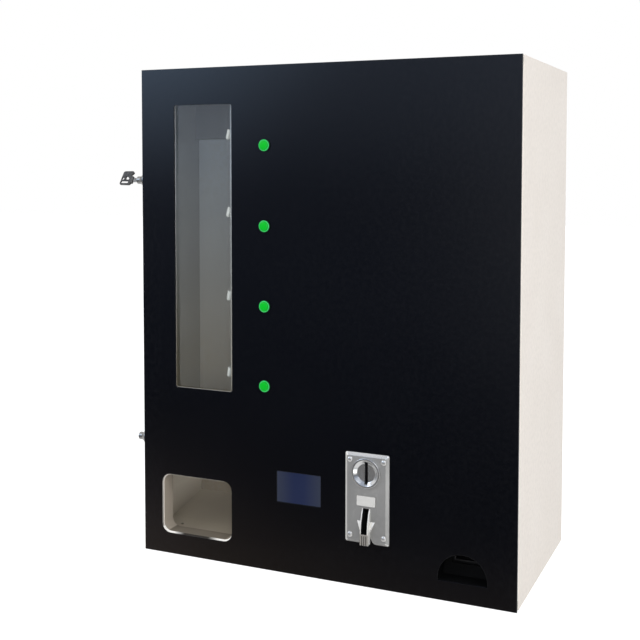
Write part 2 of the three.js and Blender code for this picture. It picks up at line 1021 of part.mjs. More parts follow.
function coinMech() {
  const x = mechWidth / 2;
  const z = mechHeight / 2;
  const front = seatGap;
  const body = prism(
    "x",
    [
      new THREE.Vector2(front, -z),
      new THREE.Vector2(mechDepth - mechChamfer, -z),
      new THREE.Vector2(mechDepth, mechChamfer - z),
      new THREE.Vector2(mechDepth, z - mechTopDepth),
      new THREE.Vector2(mechTopDepth, z),
      new THREE.Vector2(front, z),
    ],
    -x,
    x,
  );
  const half = mechChannel / 2;
  const slotTop = bezelZ + coinSlotHeight / 2;
  const entry = block(
    -half,
    half,
    -overrun,
    mechPocketDepth,
    bezelZ - coinSlotHeight / 2,
    slotTop,
  );
  const fall = block(-half, half, mechPocketDepth - overrun, mechTopDepth, -z - overrun, slotTop);
  const returnPocket = block(
    -returnWidth / 2,
    returnWidth / 2,
    -overrun,
    returnStem + returnTravel + slideGap,
    returnZ - returnHeight / 2,
    returnZ + returnHeight / 2,
  );
  const reject = block(
    -spoutSlot / 2,
    spoutSlot / 2,
    -overrun,
    mechPocketDepth,
    spoutBend,
    spoutTop,
  );
  const cover = block(
    mechCoverInset - x,
    x - mechCoverInset,
    mechDepth - weld,
    mechDepth + mechCover,
    mechChamfer + mechCoverInset - z,
    z - mechTopDepth - mechCoverInset,
  );
  const dial = prism(
    "y",
    circle(x / 2, 0, mechDial, smallSides),
    mechDepth,
    mechDepth + mechCover + mechDialReach,
  );
  const plug = block(
    -x / 2 - mechPlug,
    mechPlug - x / 2,
    mechDepth,
    mechDepth + mechPlug,
    -mechPlug / 2,
    mechPlug / 2,
  );
  return cut(join(body, cover, dial, plug), entry, fall, returnPocket, reject);
}

// Change cup and hopper

function changeCup() {
  const back = panFront + cupDepth - cupWall;
  const shell = prism("y", arch(cupWall), behind(panFront), behind(back + cupWall));
  const hollow = prism("y", arch(0), behind(0), behind(back));
  const rimFront = panInside + seatGap;
  const rim = prism("y", arch(cupWall + cupFlange), behind(rimFront), behind(rimFront + cupWall), [
    arch(cupWall - weld),
  ]);
  const x = fromLeft(cupX);
  const slotTop = cupBottom + cupSpring + cupRadius - cupSlotDrop;
  const slot = block(
    x - cupSlotWidth / 2,
    x + cupSlotWidth / 2,
    behind(back - overrun),
    behind(back + cupWall + overrun),
    slotTop - cupSlotHeight,
    slotTop,
  );
  return cut(join(shell, rim), hollow, slot);
}

function changeHopper() {
  const x = fromLeft(cupX);
  const half = hopperWidth / 2;
  const y0 = behind(hopperFront);
  const y1 = behind(hopperFront + hopperDepth);
  const base = block(x - half, x + half, y0, y1, ground, hopperBase);
  const foot = block(
    x - half,
    x + half,
    y0 - hopperFoot,
    y1 + hopperFoot,
    ground,
    ground + hopperWall,
  );
  const ring = (inset, z) => [
    [x - half + inset, y0 + inset, z],
    [x + half - inset, y0 + inset, z],
    [x + half - inset, y1 - inset, z],
    [x - half + inset, y1 - inset, z],
  ];
  const bin = loft([ring(0, hopperBase - weld), ring(-hopperFlare, hopperTop)]);
  const hollow = loft([
    ring(hopperFloor, hopperBase - hopperFloor),
    ring(hopperWall - hopperFlare, hopperTop + overrun),
  ]);
  const slotTop = cupBottom + cupSpring + cupRadius - cupSlotDrop;
  const noseTop = slotTop - (cupSlotHeight - noseHeight) / 2;
  const nose = block(
    x - noseWidth / 2,
    x + noseWidth / 2,
    y0 - noseReach,
    y0 + weld,
    noseTop - noseHeight,
    noseTop,
  );
  const chute = block(
    x - noseWidth / 2 + hopperWall,
    x + noseWidth / 2 - hopperWall,
    y0 - noseReach - overrun,
    y0 + hopperFloor,
    noseTop - noseHeight + hopperWall,
    noseTop - hopperWall,
  );
  return cut(join(base, foot, bin, nose), hollow, chute);
}

// Hinge

const hingeLength = height - 2 * hingeEnd;
const knuckleLength = (hingeLength - (knuckleCount - 1) * knuckleGap) / knuckleCount;

function knuckleSpan(i) {
  const start = hingeEnd + i * (knuckleLength + knuckleGap);
  return [start, start + knuckleLength];
}

function hingeLeaf(x0, x1, own) {
  const cx = fromLeft(hingeX);
  const cy = behind(hingeDepth);
  const clear = knuckleRadius + knuckleGap;
  let leaf = block(x0, x1, cy + clear, cy + leafWidth, hingeEnd, height - hingeEnd);
  for (let i = 0; i < knuckleCount; i += 1) {
    if (i % 2 !== own) continue;
    const [low, high] = knuckleSpan(i);
    const barrel = prism("z", circle(cx, cy, knuckleRadius, smallSides), low, high);
    leaf = join(leaf, barrel, block(x0, x1, cy, cy + clear + weld, low, high));
  }
  const bore = circle(cx, cy, hingePin + hingeBoreGap, smallSides);
  return cut(leaf, prism("z", bore, 0, height));
}

function cabinetLeaf() {
  const outer = width / 2 - wall - seatGap;
  return hingeLeaf(outer - leafSheet, outer, 0);
}

function doorLeaf() {
  const inner = fromLeft(hingeX - knuckleRadius);
  return hingeLeaf(inner, inner + leafSheet, 1);
}

function pinRod() {
  const outline = circle(fromLeft(hingeX), behind(hingeDepth), hingePin, smallSides);
  return prism("z", outline, hingeEnd, height - hingeEnd);
}

// Locks are modelled on their own axis along X, with the cabinet's left side at zero

function lockBody() {
  const bore = lockPlug + slideGap;
  const head = -lockHeadGap;
  const turned = revolve("x", [
    [bore, -lockReach],
    [lockTip - weld, -lockReach],
    [lockTip, weld - lockReach],
    [lockTip, lockTipLength - lockReach],
    [lockBase - lockRim, head - 2 * lockRim],
    [lockBase, head - lockRim],
    [lockBase, head],
    [lockBarrel, head],
    [lockBarrel, lockBarrelEnd],
    [bore, lockBarrelEnd],
    [bore, -lockReach],
  ]);
  const clipStart = panLeft + innerSheet + seatGap;
  const clipEnd = clipStart + lockClipSheet;
  const clip = cut(
    block(clipStart, clipEnd, -lockClipFront, lockClip, -lockClip, lockClip),
    prism("x", circle(0, 0, lockBarrel - weld), clipStart - overrun, clipEnd + overrun),
  );
  return join(turned, clip);
}

const keyTurn = new THREE.Matrix4().makeRotationX(-keyTilt);

function turned(body) {
  const m = keyTurn.elements;
  return body.transform(Array.from(m));
}

function lockPlugPiece() {
  const shank = revolve("x", [
    [0, -lockReach],
    [lockPlug, -lockReach],
    [lockPlug, lockBarrelEnd + seatGap],
    [lockStud, lockBarrelEnd + seatGap],
    [lockStud, lockBarrelEnd + seatGap + lockStudLength],
    [0, lockBarrelEnd + seatGap + lockStudLength],
  ]);
  const way = block(
    -lockReach - overrun,
    keyDeep - lockReach + seatGap,
    -keySheet / 2 - seatGap,
    keySheet / 2 + seatGap,
    -keyHalf - seatGap,
    keyHalf + seatGap,
  );
  return cut(shank, turned(way));
}

function lockCam() {
  const start = lockBarrelEnd + 2 * seatGap;
  const reach = camReach - camHalf;
  return prism(
    "x",
    [
      ...arc(0, 0, camHalf + camSheet, Math.PI / 2, (3 * Math.PI) / 2, smallSides),
      new THREE.Vector2(camHalf, -camHalf),
      ...arc(reach, 0, camHalf, -Math.PI / 2, Math.PI / 2, 6),
      new THREE.Vector2(camHalf, camHalf),
    ],
    start,
    start + camSheet,
    [circle(0, 0, lockStud + seatGap, smallSides)],
  );
}

function keyBlade() {
  const end = keyDeep - lockReach;
  const root = -lockReach - keyNeck - bowSocket;
  const outline = [
    new THREE.Vector2(root, -keyHalf),
    new THREE.Vector2(end - keyHalf / 2, -keyHalf),
    new THREE.Vector2(end, 0),
    new THREE.Vector2(end - keyHalf / 2, keyHalf),
  ];
  for (let i = 0; i < toothCount; i += 1) {
    const x = end - keyHalf - i * toothPitch;
    outline.push(new THREE.Vector2(x, keyHalf));
    outline.push(new THREE.Vector2(x - toothPitch / 2, keyHalf - toothDepth));
  }
  outline.push(new THREE.Vector2(end - keyHalf - toothCount * toothPitch, keyHalf));
  outline.push(new THREE.Vector2(root, keyHalf));
  return turned(prism("y", outline, -keySheet / 2, keySheet / 2));
}

function keyBow() {
  const near = -lockReach - keyNeck;
  const far = near - bowLength;
  const high = bowRise + bowWidth / 2;
  const low = bowRise - bowWidth / 2;
  const side = near - bowShoulder;
  const neck = keyHalf + bowSocket / 2;
  const outline = [
    new THREE.Vector2(near, -neck),
    new THREE.Vector2(near, neck),
    new THREE.Vector2(side, neck + bowNeck / 2),
    ...arc(side, high - bowCorner, bowCorner, 0, Math.PI / 2, cornerSteps),
    ...arc(far + bowCorner, high - bowCorner, bowCorner, Math.PI / 2, Math.PI, cornerSteps),
    ...arc(far + bowCorner, low + bowCorner, bowCorner, Math.PI, 1.5 * Math.PI, cornerSteps),
    ...arc(side, low + bowCorner, bowCorner, 1.5 * Math.PI, 2 * Math.PI, cornerSteps),
  ];
  const middle = (far + side) / 2;
  const slotLow = low + bowSlotRim;
  const slot = roundedRectangle(
    middle - bowSlotLength / 2,
    middle + bowSlotLength / 2,
    slotLow,
    slotLow + bowSlotWidth,
    bowSlotWidth / 3,
    2,
  );
  const holeHigh = slotLow + bowSlotWidth + bowSlotRim + bowHole;
  const holes = [-1, 1].map((end) =>
    circle(middle + end * (bowSlotLength / 2 - bowHole), holeHigh, bowHole, 8),
  );
  const bow = prism("y", outline, -bowSheet / 2, bowSheet / 2, [slot, ...holes]);
  const socket = block(
    near - bowSocket - seatGap,
    near + overrun,
    -keySheet / 2 - seatGap,
    keySheet / 2 + seatGap,
    -keyHalf - seatGap,
    keyHalf + seatGap,
  );
  return turned(cut(bow, socket));
}

// Product spirals: the free end starts at the front of the coil and the curls run back to the hub

const coilLength = coilTurns * coilPitch;

function coilPoint(turns) {
  const angle = 2 * Math.PI * turns;
  return new THREE.Vector3(
    turns * coilPitch,
    -coilRadius * Math.cos(angle),
    coilRadius * Math.sin(angle),
  );
}

function coilDirection(turns) {
  const angle = 2 * Math.PI * turns;
  const around = 2 * Math.PI * coilRadius;
  return new THREE.Vector3(
    coilPitch,
    around * Math.sin(angle),
    around * Math.cos(angle),
  ).normalize();
}

function spiralPath() {
  const steps = coilTurns * coilSteps;
  const path = [];
  const start = coilPoint(0).addScaledVector(coilDirection(0), -tipRun);
  path.push({ point: start, direction: coilDirection(0), turn: 0 });
  for (let i = 0; i <= steps; i += 1) {
    const turn = i / coilSteps;
    path.push({ point: coilPoint(turn), direction: coilDirection(turn), turn });
  }
  const run = 2 * wireRadius;
  const end = coilPoint(coilTurns).addScaledVector(coilDirection(coilTurns), run);
  path.push({ point: end, direction: coilDirection(coilTurns), turn: coilTurns });
  return path;
}

function spiralWire() {
  const rings = spiralPath().map(({ point, direction, turn }) => {
    const angle = 2 * Math.PI * turn;
    const out = new THREE.Vector3(0, -Math.cos(angle), Math.sin(angle));
    const side = new THREE.Vector3().crossVectors(direction, out).normalize();
    return Array.from({ length: wireSides }, (_, i) => {
      const a = (2 * Math.PI * i) / wireSides;
      return point
        .clone()
        .addScaledVector(out, wireRadius * Math.cos(a))
        .addScaledVector(side, wireRadius * Math.sin(a))
        .toArray();
    });
  });
  return loft(rings);
}

// The least gap of the wire to itself, between points that lie more than half a curl apart
function spiralGap() {
  const points = spiralPath().map((step) => step.point);
  let least = Infinity;
  for (let i = 0; i < points.length; i += 1) {
    for (let j = i + coilSteps / 2; j < points.length; j += 1) {
      least = Math.min(least, points[i].distanceTo(points[j]));
    }
  }
  return least - 2 * wireRadius;
}

function spiralTip() {
  const bore = wireRadius + slideGap;
  const outer = tipCapRadius;
  const crown = tipCapLength - outer;
  const dome = arc(0, crown, outer, 0, Math.PI / 2, 4).map((p) => [p.x, p.y]);
  const cap = revolve(
    "y",
    [
      [bore, 0],
      [outer, 0],
      ...dome,
      [0, tipRun + seatGap],
      [bore, tipRun + seatGap],
      [bore, 0],
    ],
    smallSides,
  );
  const down = coilDirection(0).negate();
  const turn = new THREE.Quaternion().setFromUnitVectors(new THREE.Vector3(0, 1, 0), down);
  const matrix = new THREE.Matrix4().compose(coilPoint(0), turn, new THREE.Vector3(1, 1, 1));
  return cap.transform(Array.from(matrix.elements));
}

function spiralHub() {
  const end = spiralPath().at(-1);
  const lugFace = end.point.z + seatGap;
  const start = coilLength + hubLug;
  const plateStart = plateX - tipX;
  const disc = prism("x", circle(0, 0, hubRadius), start, start + hubSheet);
  const arm = block(start, start + hubSheet, -coilOuter, 0, 0, hubArm + lugFace);
  const lug = block(
    coilLength - hubLug,
    start + weld,
    -coilOuter,
    hubLugDeep - coilOuter,
    lugFace,
    lugFace + hubArm,
  );
  const sweep = prism("x", circle(0, 0, coilOuter, 2 * roundSides), 0, start + hubSheet + overrun);
  const boss = prism("x", circle(0, 0, hubBoss), start + hubSheet - weld, plateStart + innerSheet);
  const shaft = prism(
    "x",
    circle(0, 0, hubShaft, smallSides),
    plateStart,
    plateStart + innerSheet + seatGap + hubShaftBite,
  );
  return join(disc, join(arm, lug).intersect(sweep), boss, shaft);
}

// Motors are modelled round the shaft, with the motor plate's right face at zero

function gearMotor() {
  const half = gearboxWidth / 2;
  const low = motorCanDrop - gearboxLength;
  const gearbox = prism(
    "x",
    roundedRectangle(-half, half, low, motorCanDrop, gearboxCorner),
    seatGap,
    gearboxSheet,
  );
  const canZ = low + motorCan + seatGap;
  const canEnd = gearboxSheet + motorCanLength;
  const can = prism("x", circle(0, canZ, motorCan), gearboxSheet - weld, canEnd);
  const tail = prism("x", circle(0, canZ, motorTail, smallSides), canEnd - weld, canEnd + motorTailLength);
  const microswitch = block(
    gearboxSheet - weld,
    gearboxSheet + switchSheet,
    -switchLength / 2,
    switchLength / 2,
    -switchWidth / 2,
    switchWidth / 2,
  );
  const bore = prism(
    "x",
    circle(0, 0, hubShaft + slideGap, smallSides),
    0,
    seatGap + hubShaftBite + seatGap,
  );
  return cut(join(gearbox, can, tail, microswitch), bore);
}

function tray() {
  const floor = -coilOuter - trayClearance;
  const under = floor - traySheet;
  const back = linerDepth - seatGap;
  const rail = coilDepth + coilOuter + trayRailGap;
  const y = (d) => behind(d);
  const outline = [
    new THREE.Vector2(y(trayFront), under),
    new THREE.Vector2(y(back), under),
    new THREE.Vector2(y(back), floor + trayBackLip),
    new THREE.Vector2(y(back - traySheet), floor + trayBackLip),
    new THREE.Vector2(y(back - traySheet), floor),
    new THREE.Vector2(y(rail + traySheet), floor),
    new THREE.Vector2(y(rail + traySheet), floor + trayRail),
    new THREE.Vector2(y(rail), floor + trayRail),
    new THREE.Vector2(y(rail), floor),
    new THREE.Vector2(y(trayFront + traySheet), floor),
    new THREE.Vector2(y(trayFront + traySheet), floor + trayFrontLip),
    new THREE.Vector2(y(trayFront), floor + trayFrontLip),
  ];
  return prism("x", outline, fromLeft(tipX + trayPast), fromLeft(plateX - seatGap));
}

function trayPost() {
  const x0 = fromLeft(tipX + postPast);
  const bottom = spiralLow - postBelow;
  const back = trayFront - seatGap;
  const bar = block(x0, x0 + postWidth, behind(back - postSheet), behind(back), bottom, roof);
  const foot = block(
    x0,
    x0 + postWidth,
    behind(back - postSheet),
    behind(back + flange),
    roof - postSheet,
    roof,
  );
  return join(bar, foot);
}

function motorPlate() {
  const x0 = fromLeft(plateX);
  const bottom = spiralLow - plateBelow;
  const y0 = behind(trayFront - seatGap - innerSheet);
  const y1 = behind(linerDepth - seatGap);
  const web = block(x0, x0 + innerSheet, y0, y1, bottom, roof);
  const front = block(x0, x0 + flange, y0, y0 + innerSheet, bottom, roof);
  const back = block(x0, x0 + flange, y1 - innerSheet, y1, bottom, roof);
  const top = block(x0, x0 + flange, y0, y1, roof - innerSheet, roof);
  const holes = spiralRows.map((z) =>
    prism("x", circle(behind(coilDepth), z, shaftHole), x0 - overrun, x0 + innerSheet + overrun),
  );
  return cut(join(web, front, back, top), ...holes);
}

function pickupBin() {
  const x0 = fromLeft(wall + seatGap);
  const x1 = fromLeft(tipX + binPast);
  const front = doorDepth + binGap;
  const back = linerDepth - seatGap;
  const rightTop = spiralLow - coilOuter - trayClearance - traySheet - seatGap;
  const floorSide = [
    new THREE.Vector2(behind(front), binFrontHeight - innerSheet),
    new THREE.Vector2(behind(back), binBackHeight - innerSheet),
    new THREE.Vector2(behind(back), binBackHeight),
    new THREE.Vector2(behind(front + innerSheet), binFrontHeight),
    new THREE.Vector2(behind(front + innerSheet), binFrontHeight + binLip),
    new THREE.Vector2(behind(front), binFrontHeight + binLip),
  ];
  const floor = prism("x", floorSide, x0, x1);
  const leftWall = block(x0, x0 + innerSheet, behind(front), behind(back), ground, binLeftWall);
  const rightWall = block(x1 - innerSheet, x1, behind(front), behind(back), ground, rightTop);
  const apron = block(x0, x1, behind(front), behind(front + innerSheet), ground, binFrontHeight);
  return join(floor, leftWall, rightWall, apron);
}

function cashBox() {
  const x0 = fromLeft(coinX - cashBeforeCoin);
  const x1 = fromLeft(cupX - cashToCup);
  const y0 = behind(cashFront);
  const y1 = y0 + cashDepth;
  const outer = block(x0, x1, y0, y1, ground, cashHeight);
  const hollow = block(
    x0 + innerSheet,
    x1 - innerSheet,
    y0 + innerSheet,
    y1 - innerSheet,
    ground + innerSheet,
    cashHeight + overrun,
  );
  const middle = (x0 + x1) / 2;
  const pull = block(
    middle - cashPullWidth / 2,
    middle + cashPullWidth / 2,
    y0 - cashPullReach,
    y0 + weld,
    cashHeight - cashPullHeight,
    cashHeight - cashPullHeight + innerSheet,
  );
  return cut(join(outer, pull), hollow);
}

// Electronics on the back panel and on the floor behind the liner

function controlBoard() {
  const x = boardOffset;
  const seat = behind(backInside - innerSheet);
  const board1 = behind(backInside - innerSheet - boardPostLength);
  const board0 = board1 - boardSheet;
  const x0 = x - boardWidth / 2;
  const x1 = x + boardWidth / 2;
  const z0 = boardZ - boardHeight / 2;
  const z1 = boardZ + boardHeight / 2;
  const parts = [block(x0, x1, board0, board1, z0, z1)];
  for (const px of [x0 + boardPostInset, x1 - boardPostInset]) {
    for (const pz of [z0 + boardPostInset, z1 - boardPostInset]) {
      const post = circle(px, pz, boardPost, smallSides);
      parts.push(prism("y", post, board1 - weld, seat + innerSheet));
    }
  }
  for (let i = 0; i < relayCount; i += 1) {
    const rx = x + (i - (relayCount - 1) / 2) * relayPitch;
    const rz = z0 + 2 * boardPostInset + relaySize / 2;
    const half = relaySize / 2;
    parts.push(block(rx - half, rx + half, board0 - relayReach, board0 + weld, rz - half, rz + half));
  }
  const headerZ = z1 - boardPostInset - headerHeight;
  parts.push(
    block(
      x - headerWidth / 2,
      x + headerWidth / 2,
      board0 - headerReach,
      board0 + weld,
      headerZ,
      headerZ + headerHeight,
    ),
  );
  parts.push(
    block(
      x - chipSize / 2,
      x + chipSize / 2,
      board0 - chipReach,
      board0 + weld,
      boardZ - chipSize / 2,
      boardZ + chipSize / 2,
    ),
  );
  for (const side of [-1, 1]) {
    const can = circle(x + side * (chipSize + canRadius), boardZ, canRadius, smallSides);
    parts.push(prism("y", can, board0 - canReach, board0 + weld));
  }
  return join(...parts);
}

function powerSupply() {
  const x0 = fromLeft(width - supplyFromRight);
  const x1 = x0 + supplyWidth;
  const y0 = behind(supplyDepth);
  const y1 = y0 + supplyLength;
  const top = ground + supplyHeight;
  const box = block(x0, x1, y0, y1, ground, top);
  const foot = block(x0 - supplyFoot, x1 + supplyFoot, y0, y1, ground, ground + supplyFootSheet);
  const grooves = Array.from({ length: supplyGrooves }, (_, i) => {
    const gx = x0 + (supplyWidth * (i + 1)) / (supplyGrooves + 1);
    return block(
      gx - supplyGroove / 2,
      gx + supplyGroove / 2,
      y0 + supplyFoot,
      y1 - supplyFoot,
      top - supplyGrooveDepth,
      top + overrun,
    );
  });
  return cut(join(box, foot), ...grooves);
}

function powerInlet() {
  const x = fromLeft(width - inletFromRight);
  const face = behind(depth);
  const flangeBack = behind(depth - innerSheet - seatGap);
  const body = block(
    x - inletWidth / 2,
    x + inletWidth / 2,
    face - inletDepth,
    face,
    inletZ - inletHeight / 2,
    inletZ + inletHeight / 2,
  );
  const rim = block(
    x - inletWidth / 2 - inletFlange,
    x + inletWidth / 2 + inletFlange,
    flangeBack - inletFlangeSheet,
    flangeBack,
    inletZ - inletHeight / 2,
    inletZ + inletHeight / 2,
  );
  const socket = prism(
    "y",
    roundedRectangle(
      x - socketWidth / 2,
      x + socketWidth / 2,
      inletZ - socketHeight / 2,
      inletZ + socketHeight / 2,
      socketCorner / 2,
      2,
    ),
    face - socketDepth,
    face + overrun,
  );
  const pins = [-1, 0, 1].map((i) => {
    const px = x + (i === 0 ? -pinOffset : pinOffset);
    const pz = inletZ + i * pinSide;
    return block(
      px - pinLong / 2,
      px + pinLong / 2,
      face - socketDepth - weld,
      face - socketDepth + pinReach,
      pz - pinSheet / 2,
      pz + pinSheet / 2,
    );
  });
  return join(cut(join(body, rim), socket), ...pins);
}

// Assembly

place("cabinet_wrap", cabinetWrap(), paleSteel);
place("back_panel", backPanel(), paleSteel);
place("back_liner", backLiner(), innerSteel);
place("upper_cover", upperCover(), innerSteel);
place("motor_plate", motorPlate(), innerSteel);
place("tray_post", trayPost(), paleSteel);
place("pickup_bin", pickupBin(), innerSteel);
place("cash_box", cashBox(), innerSteel);
place("change_hopper", changeHopper(), blackPlastic);
place("control_board", controlBoard(), boardGreen);
place("power_supply", powerSupply(), steel);
place("power_inlet", powerInlet(), blackPlastic);
place("hinge_leaf_cabinet", cabinetLeaf(), paleSteel);
place("hinge_pin", pinRod(), steel);

const trayBody = tray();
const wireBody = spiralWire();
const tipBody = spiralTip();
const hubBody = spiralHub();
const motorBody = gearMotor();
spiralRows.forEach((z, i) => {
  const number = i + 1;
  place("tray_" + number, trayBody, innerSteel).position.z = z;
  const turning = new THREE.Group();
  turning.position.set(fromLeft(tipX), behind(coilDepth), z);
  turning.rotation.x = -2 * Math.PI * restTurnShares[i];
  machine.add(turning);
  place("spiral_" + number, wireBody, steel, turning);
  place("spiral_tip_" + number, tipBody, whitePlastic, turning);
  place("spiral_hub_" + number, hubBody, whitePlastic, turning);
  const motor = place("gear_motor_" + number, motorBody, whitePlastic);
  motor.position.set(fromLeft(plateX + innerSheet), behind(coilDepth), z);
});

place("fascia", fasciaPiece(), blackSheet, door);
place("door_pan", doorPan(), paleSteel, door);
place("window_pane", windowPane(), clearSheet, door);
place("display_module", displayModule(), displayGlass, door);
place("change_cup", changeCup(), blackPlastic, door);
place("hinge_leaf_door", doorLeaf(), paleSteel, door);

const capBody = buttonCap();
const holderBody = buttonBody();
buttonRows.forEach((z, i) => {
  const number = i + 1;
  onFront(place("button_cap_" + number, capBody, greenCap, door), buttonX, z);
  onFront(place("button_body_" + number, holderBody, blackPlastic, door), buttonX, z);
});

onFront(place("coin_faceplate", facePlate(), castZinc, door), coinX, coinZ);
onFront(place("coin_bezel", coinBezel(), chrome, door), coinX, coinZ + bezelZ);
onFront(place("coin_return_button", coinReturnButton(), whitePlastic, door), coinX, coinZ + returnZ);
onFront(place("coin_mech", coinMech(), blackPlastic, door), coinX, coinZ);

const lockParts = [
  ["lock_body", lockBody(), chrome],
  ["lock_plug", lockPlugPiece(), castZinc],
  ["lock_cam", lockCam(), steel],
];
for (const [suffix, z] of [["upper", upperLockZ], ["lower", lowerLockZ]]) {
  for (const [name, body, material] of lockParts) {
    const mesh = place(name + "_" + suffix, body, material, door);
    mesh.position.set(-width / 2, behind(lockDepth), z);
  }
}
const keyParts = [
  ["key_blade", keyBlade(), steel],
  ["key_bow", keyBow(), blackPlastic],
];
for (const [name, body, material] of keyParts) {
  place(name, body, material, door).position.set(-width / 2, behind(lockDepth), upperLockZ);
}

console.log("Least gap of a spiral to itself:", spiralGap().toFixed(2), "mm");

export default machine;
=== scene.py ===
# %% [markdown]
# # A small snack vending machine
# The real machine is a shallow cabinet of folded sheet steel with a glossy black door. Its
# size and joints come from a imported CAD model, which this script loads first and never moves.
# Blender adds what CAD is poor at: rounded edges, smooth wires, screws, and finishes that
# catch light as paint, cast metal and plastic do.

import json
import math

import bmesh
import bpy
from mathutils import Matrix, Vector


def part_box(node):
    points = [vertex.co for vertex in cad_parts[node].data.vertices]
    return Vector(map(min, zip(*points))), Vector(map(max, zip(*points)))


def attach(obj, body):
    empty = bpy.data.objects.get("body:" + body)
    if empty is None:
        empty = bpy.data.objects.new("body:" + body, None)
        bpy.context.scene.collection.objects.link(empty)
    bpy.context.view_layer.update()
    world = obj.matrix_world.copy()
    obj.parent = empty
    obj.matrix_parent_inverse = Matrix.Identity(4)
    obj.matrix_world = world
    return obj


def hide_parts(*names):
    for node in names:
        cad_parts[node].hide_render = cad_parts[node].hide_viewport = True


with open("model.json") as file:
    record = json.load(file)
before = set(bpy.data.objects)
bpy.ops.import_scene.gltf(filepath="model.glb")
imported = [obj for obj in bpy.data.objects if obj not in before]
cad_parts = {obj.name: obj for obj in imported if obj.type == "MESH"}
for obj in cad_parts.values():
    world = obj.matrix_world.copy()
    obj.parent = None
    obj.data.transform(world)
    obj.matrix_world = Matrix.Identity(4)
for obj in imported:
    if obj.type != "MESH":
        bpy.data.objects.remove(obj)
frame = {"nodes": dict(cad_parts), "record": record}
NODES = frame["nodes"]
BODY_OF = {
    node: body
    for body, nodes in frame["record"]["behaviour"]["bodies"].items()
    for node in nodes
}
SLOT_OF = {row["node"]: row["material_slot"] for row in frame["record"]["subparts"]}
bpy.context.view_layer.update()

# %% [markdown]
# Measures on the machine are easiest to take in millimetres: across from its left side, back
# from its front face and up from its base. One small function turns such a place into
# Blender's metres, with the origin at the middle of the base.

# %% Places on the machine
MM = 0.001
WIDTH = 575
DEPTH = 300
HEIGHT = 730
BUTTON_ACROSS = 206
SPIRAL_UP = [630.5, 515, 399.5, 284]
BUTTON_UP = [up - 14.5 for up in SPIRAL_UP]
COIN_ACROSS = 364.5
COIN_UP = 125.7
BACKWARD = Vector((0, 1, 0))
UPWARD = Vector((0, 0, 1))


def at(across, back, up):
    return Vector((across - WIDTH / 2, back - DEPTH / 2, up)) * MM


def where(point):
    """The same place read back: millimetres across, back and up."""
    return (point.x / MM + WIDTH / 2, point.y / MM + DEPTH / 2, point.z / MM)


# %% [markdown]
# The camera stands to the right of the machine, a little above its middle, as the
# photographer did. The vertical shift keeps the uprights nearly upright, as cropping the
# picture would.

# %% Camera
LENS = 59.77
FILM_WIDTH = 36
SHIFT_ACROSS = 0.0201
SHIFT_UP = -0.153
CAMERA_PLACE = Vector((599.5, -1508.2, 586.3)) * MM
TILTED_DOWN = 0.0526
TURNED_LEFT = 0.4248
FARTHEST = 50
camera_data = bpy.data.cameras.new("camera")
camera_data.lens = LENS
camera_data.sensor_width = FILM_WIDTH
camera_data.shift_x = SHIFT_ACROSS
camera_data.shift_y = SHIFT_UP
camera_data.clip_end = FARTHEST
camera = bpy.data.objects.new("camera", camera_data)
camera.location = CAMERA_PLACE
camera.rotation_euler = (math.pi / 2 - TILTED_DOWN, 0, TURNED_LEFT)
bpy.context.scene.collection.objects.link(camera)
bpy.context.scene.camera = camera
bpy.context.scene.view_settings.view_transform = "Standard"
print("Camera at", [round(part, 3) for part in camera.location], "metres")

# %% [markdown]
# Colours read from a picture are not the numbers that a shader works with: the picture
# stores them with the curve of the sRGB standard. One function undoes the curve, and the
# other makes a shader's colour of three such values. Four numbers are one already.

# %% Colours


def straight(value):
    value /= 255
    if value <= 0.04045:
        return value / 12.92
    return ((value + 0.055) / 1.055) ** 2.4


def tint(tone):
    return tone if len(tone) == 4 else (*map(straight, tone), 1.0)


# %% [markdown]
# Node trees are built here in code. One helper fills a node's inputs, with either a number or
# another node's output, which it links. The next adds a node with its options and inputs.
# The rest start an empty tree or do the sums that come up most.

# %% Helpers for node trees


def fill(tree, node, inputs):
    for key, value in inputs.items():
        if isinstance(value, bpy.types.NodeSocket):
            tree.links.new(value, node.inputs[key])
        else:
            node.inputs[key].default_value = value


def add(tree, kind, inputs, **options):
    node = tree.nodes.new(kind)
    for name, value in options.items():
        setattr(node, name, value)
    fill(tree, node, inputs)
    return node


def maths(tree, operation, first, second=0.0, third=0.5):
    inputs = {0: first, 1: second, 2: third}
    return add(tree, "ShaderNodeMath", inputs, operation=operation).outputs[0]


def new_tree(block):
    """The empty node tree of a new material or world."""
    block.use_nodes = True
    block.node_tree.nodes.clear()
    return block.node_tree


def blend(tree, factor, first, second):
    """A colour between two others."""
    return add(tree, "ShaderNodeMix", {0: factor, 6: first, 7: second}, data_type="RGBA").outputs[2]


def ramp(tree, factor, low, high):
    """0 below low, 1 above high, and a straight line between."""
    return add(tree, "ShaderNodeMapRange", {0: factor, 1: low, 2: high, 3: 0.0, 4: 1.0}).outputs[0]


# %% [markdown]
# ## Light
# The machine stands in a white studio. The world is an even grey light for surfaces, and
# plain white for the camera and for what glass and metal show. Two large soft lamps give
# the corners some shape, and a smaller one beside the camera reaches into the window and the
# mouth.

# %% World and lamps
AMBIENT = 0.7
AIM = Vector((0, 0, 0.36))
world = bpy.data.worlds.new("studio")
bpy.context.scene.world = world
tree = new_tree(world)
ray = tree.nodes.new("ShaderNodeLightPath")
seen = maths(tree, "MAXIMUM", ray.outputs["Is Camera Ray"], ray.outputs["Is Glossy Ray"])
seen = maths(tree, "MAXIMUM", seen, ray.outputs["Is Transmission Ray"])
ambient = add(tree, "ShaderNodeBackground", {"Color": (0.97, 0.98, 1.0, 1), "Strength": AMBIENT})
white = add(tree, "ShaderNodeBackground", {"Color": (1, 1, 1, 1), "Strength": 1.0})
mixed = add(tree, "ShaderNodeMixShader", {0: seen, 1: ambient.outputs[0], 2: white.outputs[0]})
add(tree, "ShaderNodeOutputWorld", {"Surface": mixed.outputs[0]})


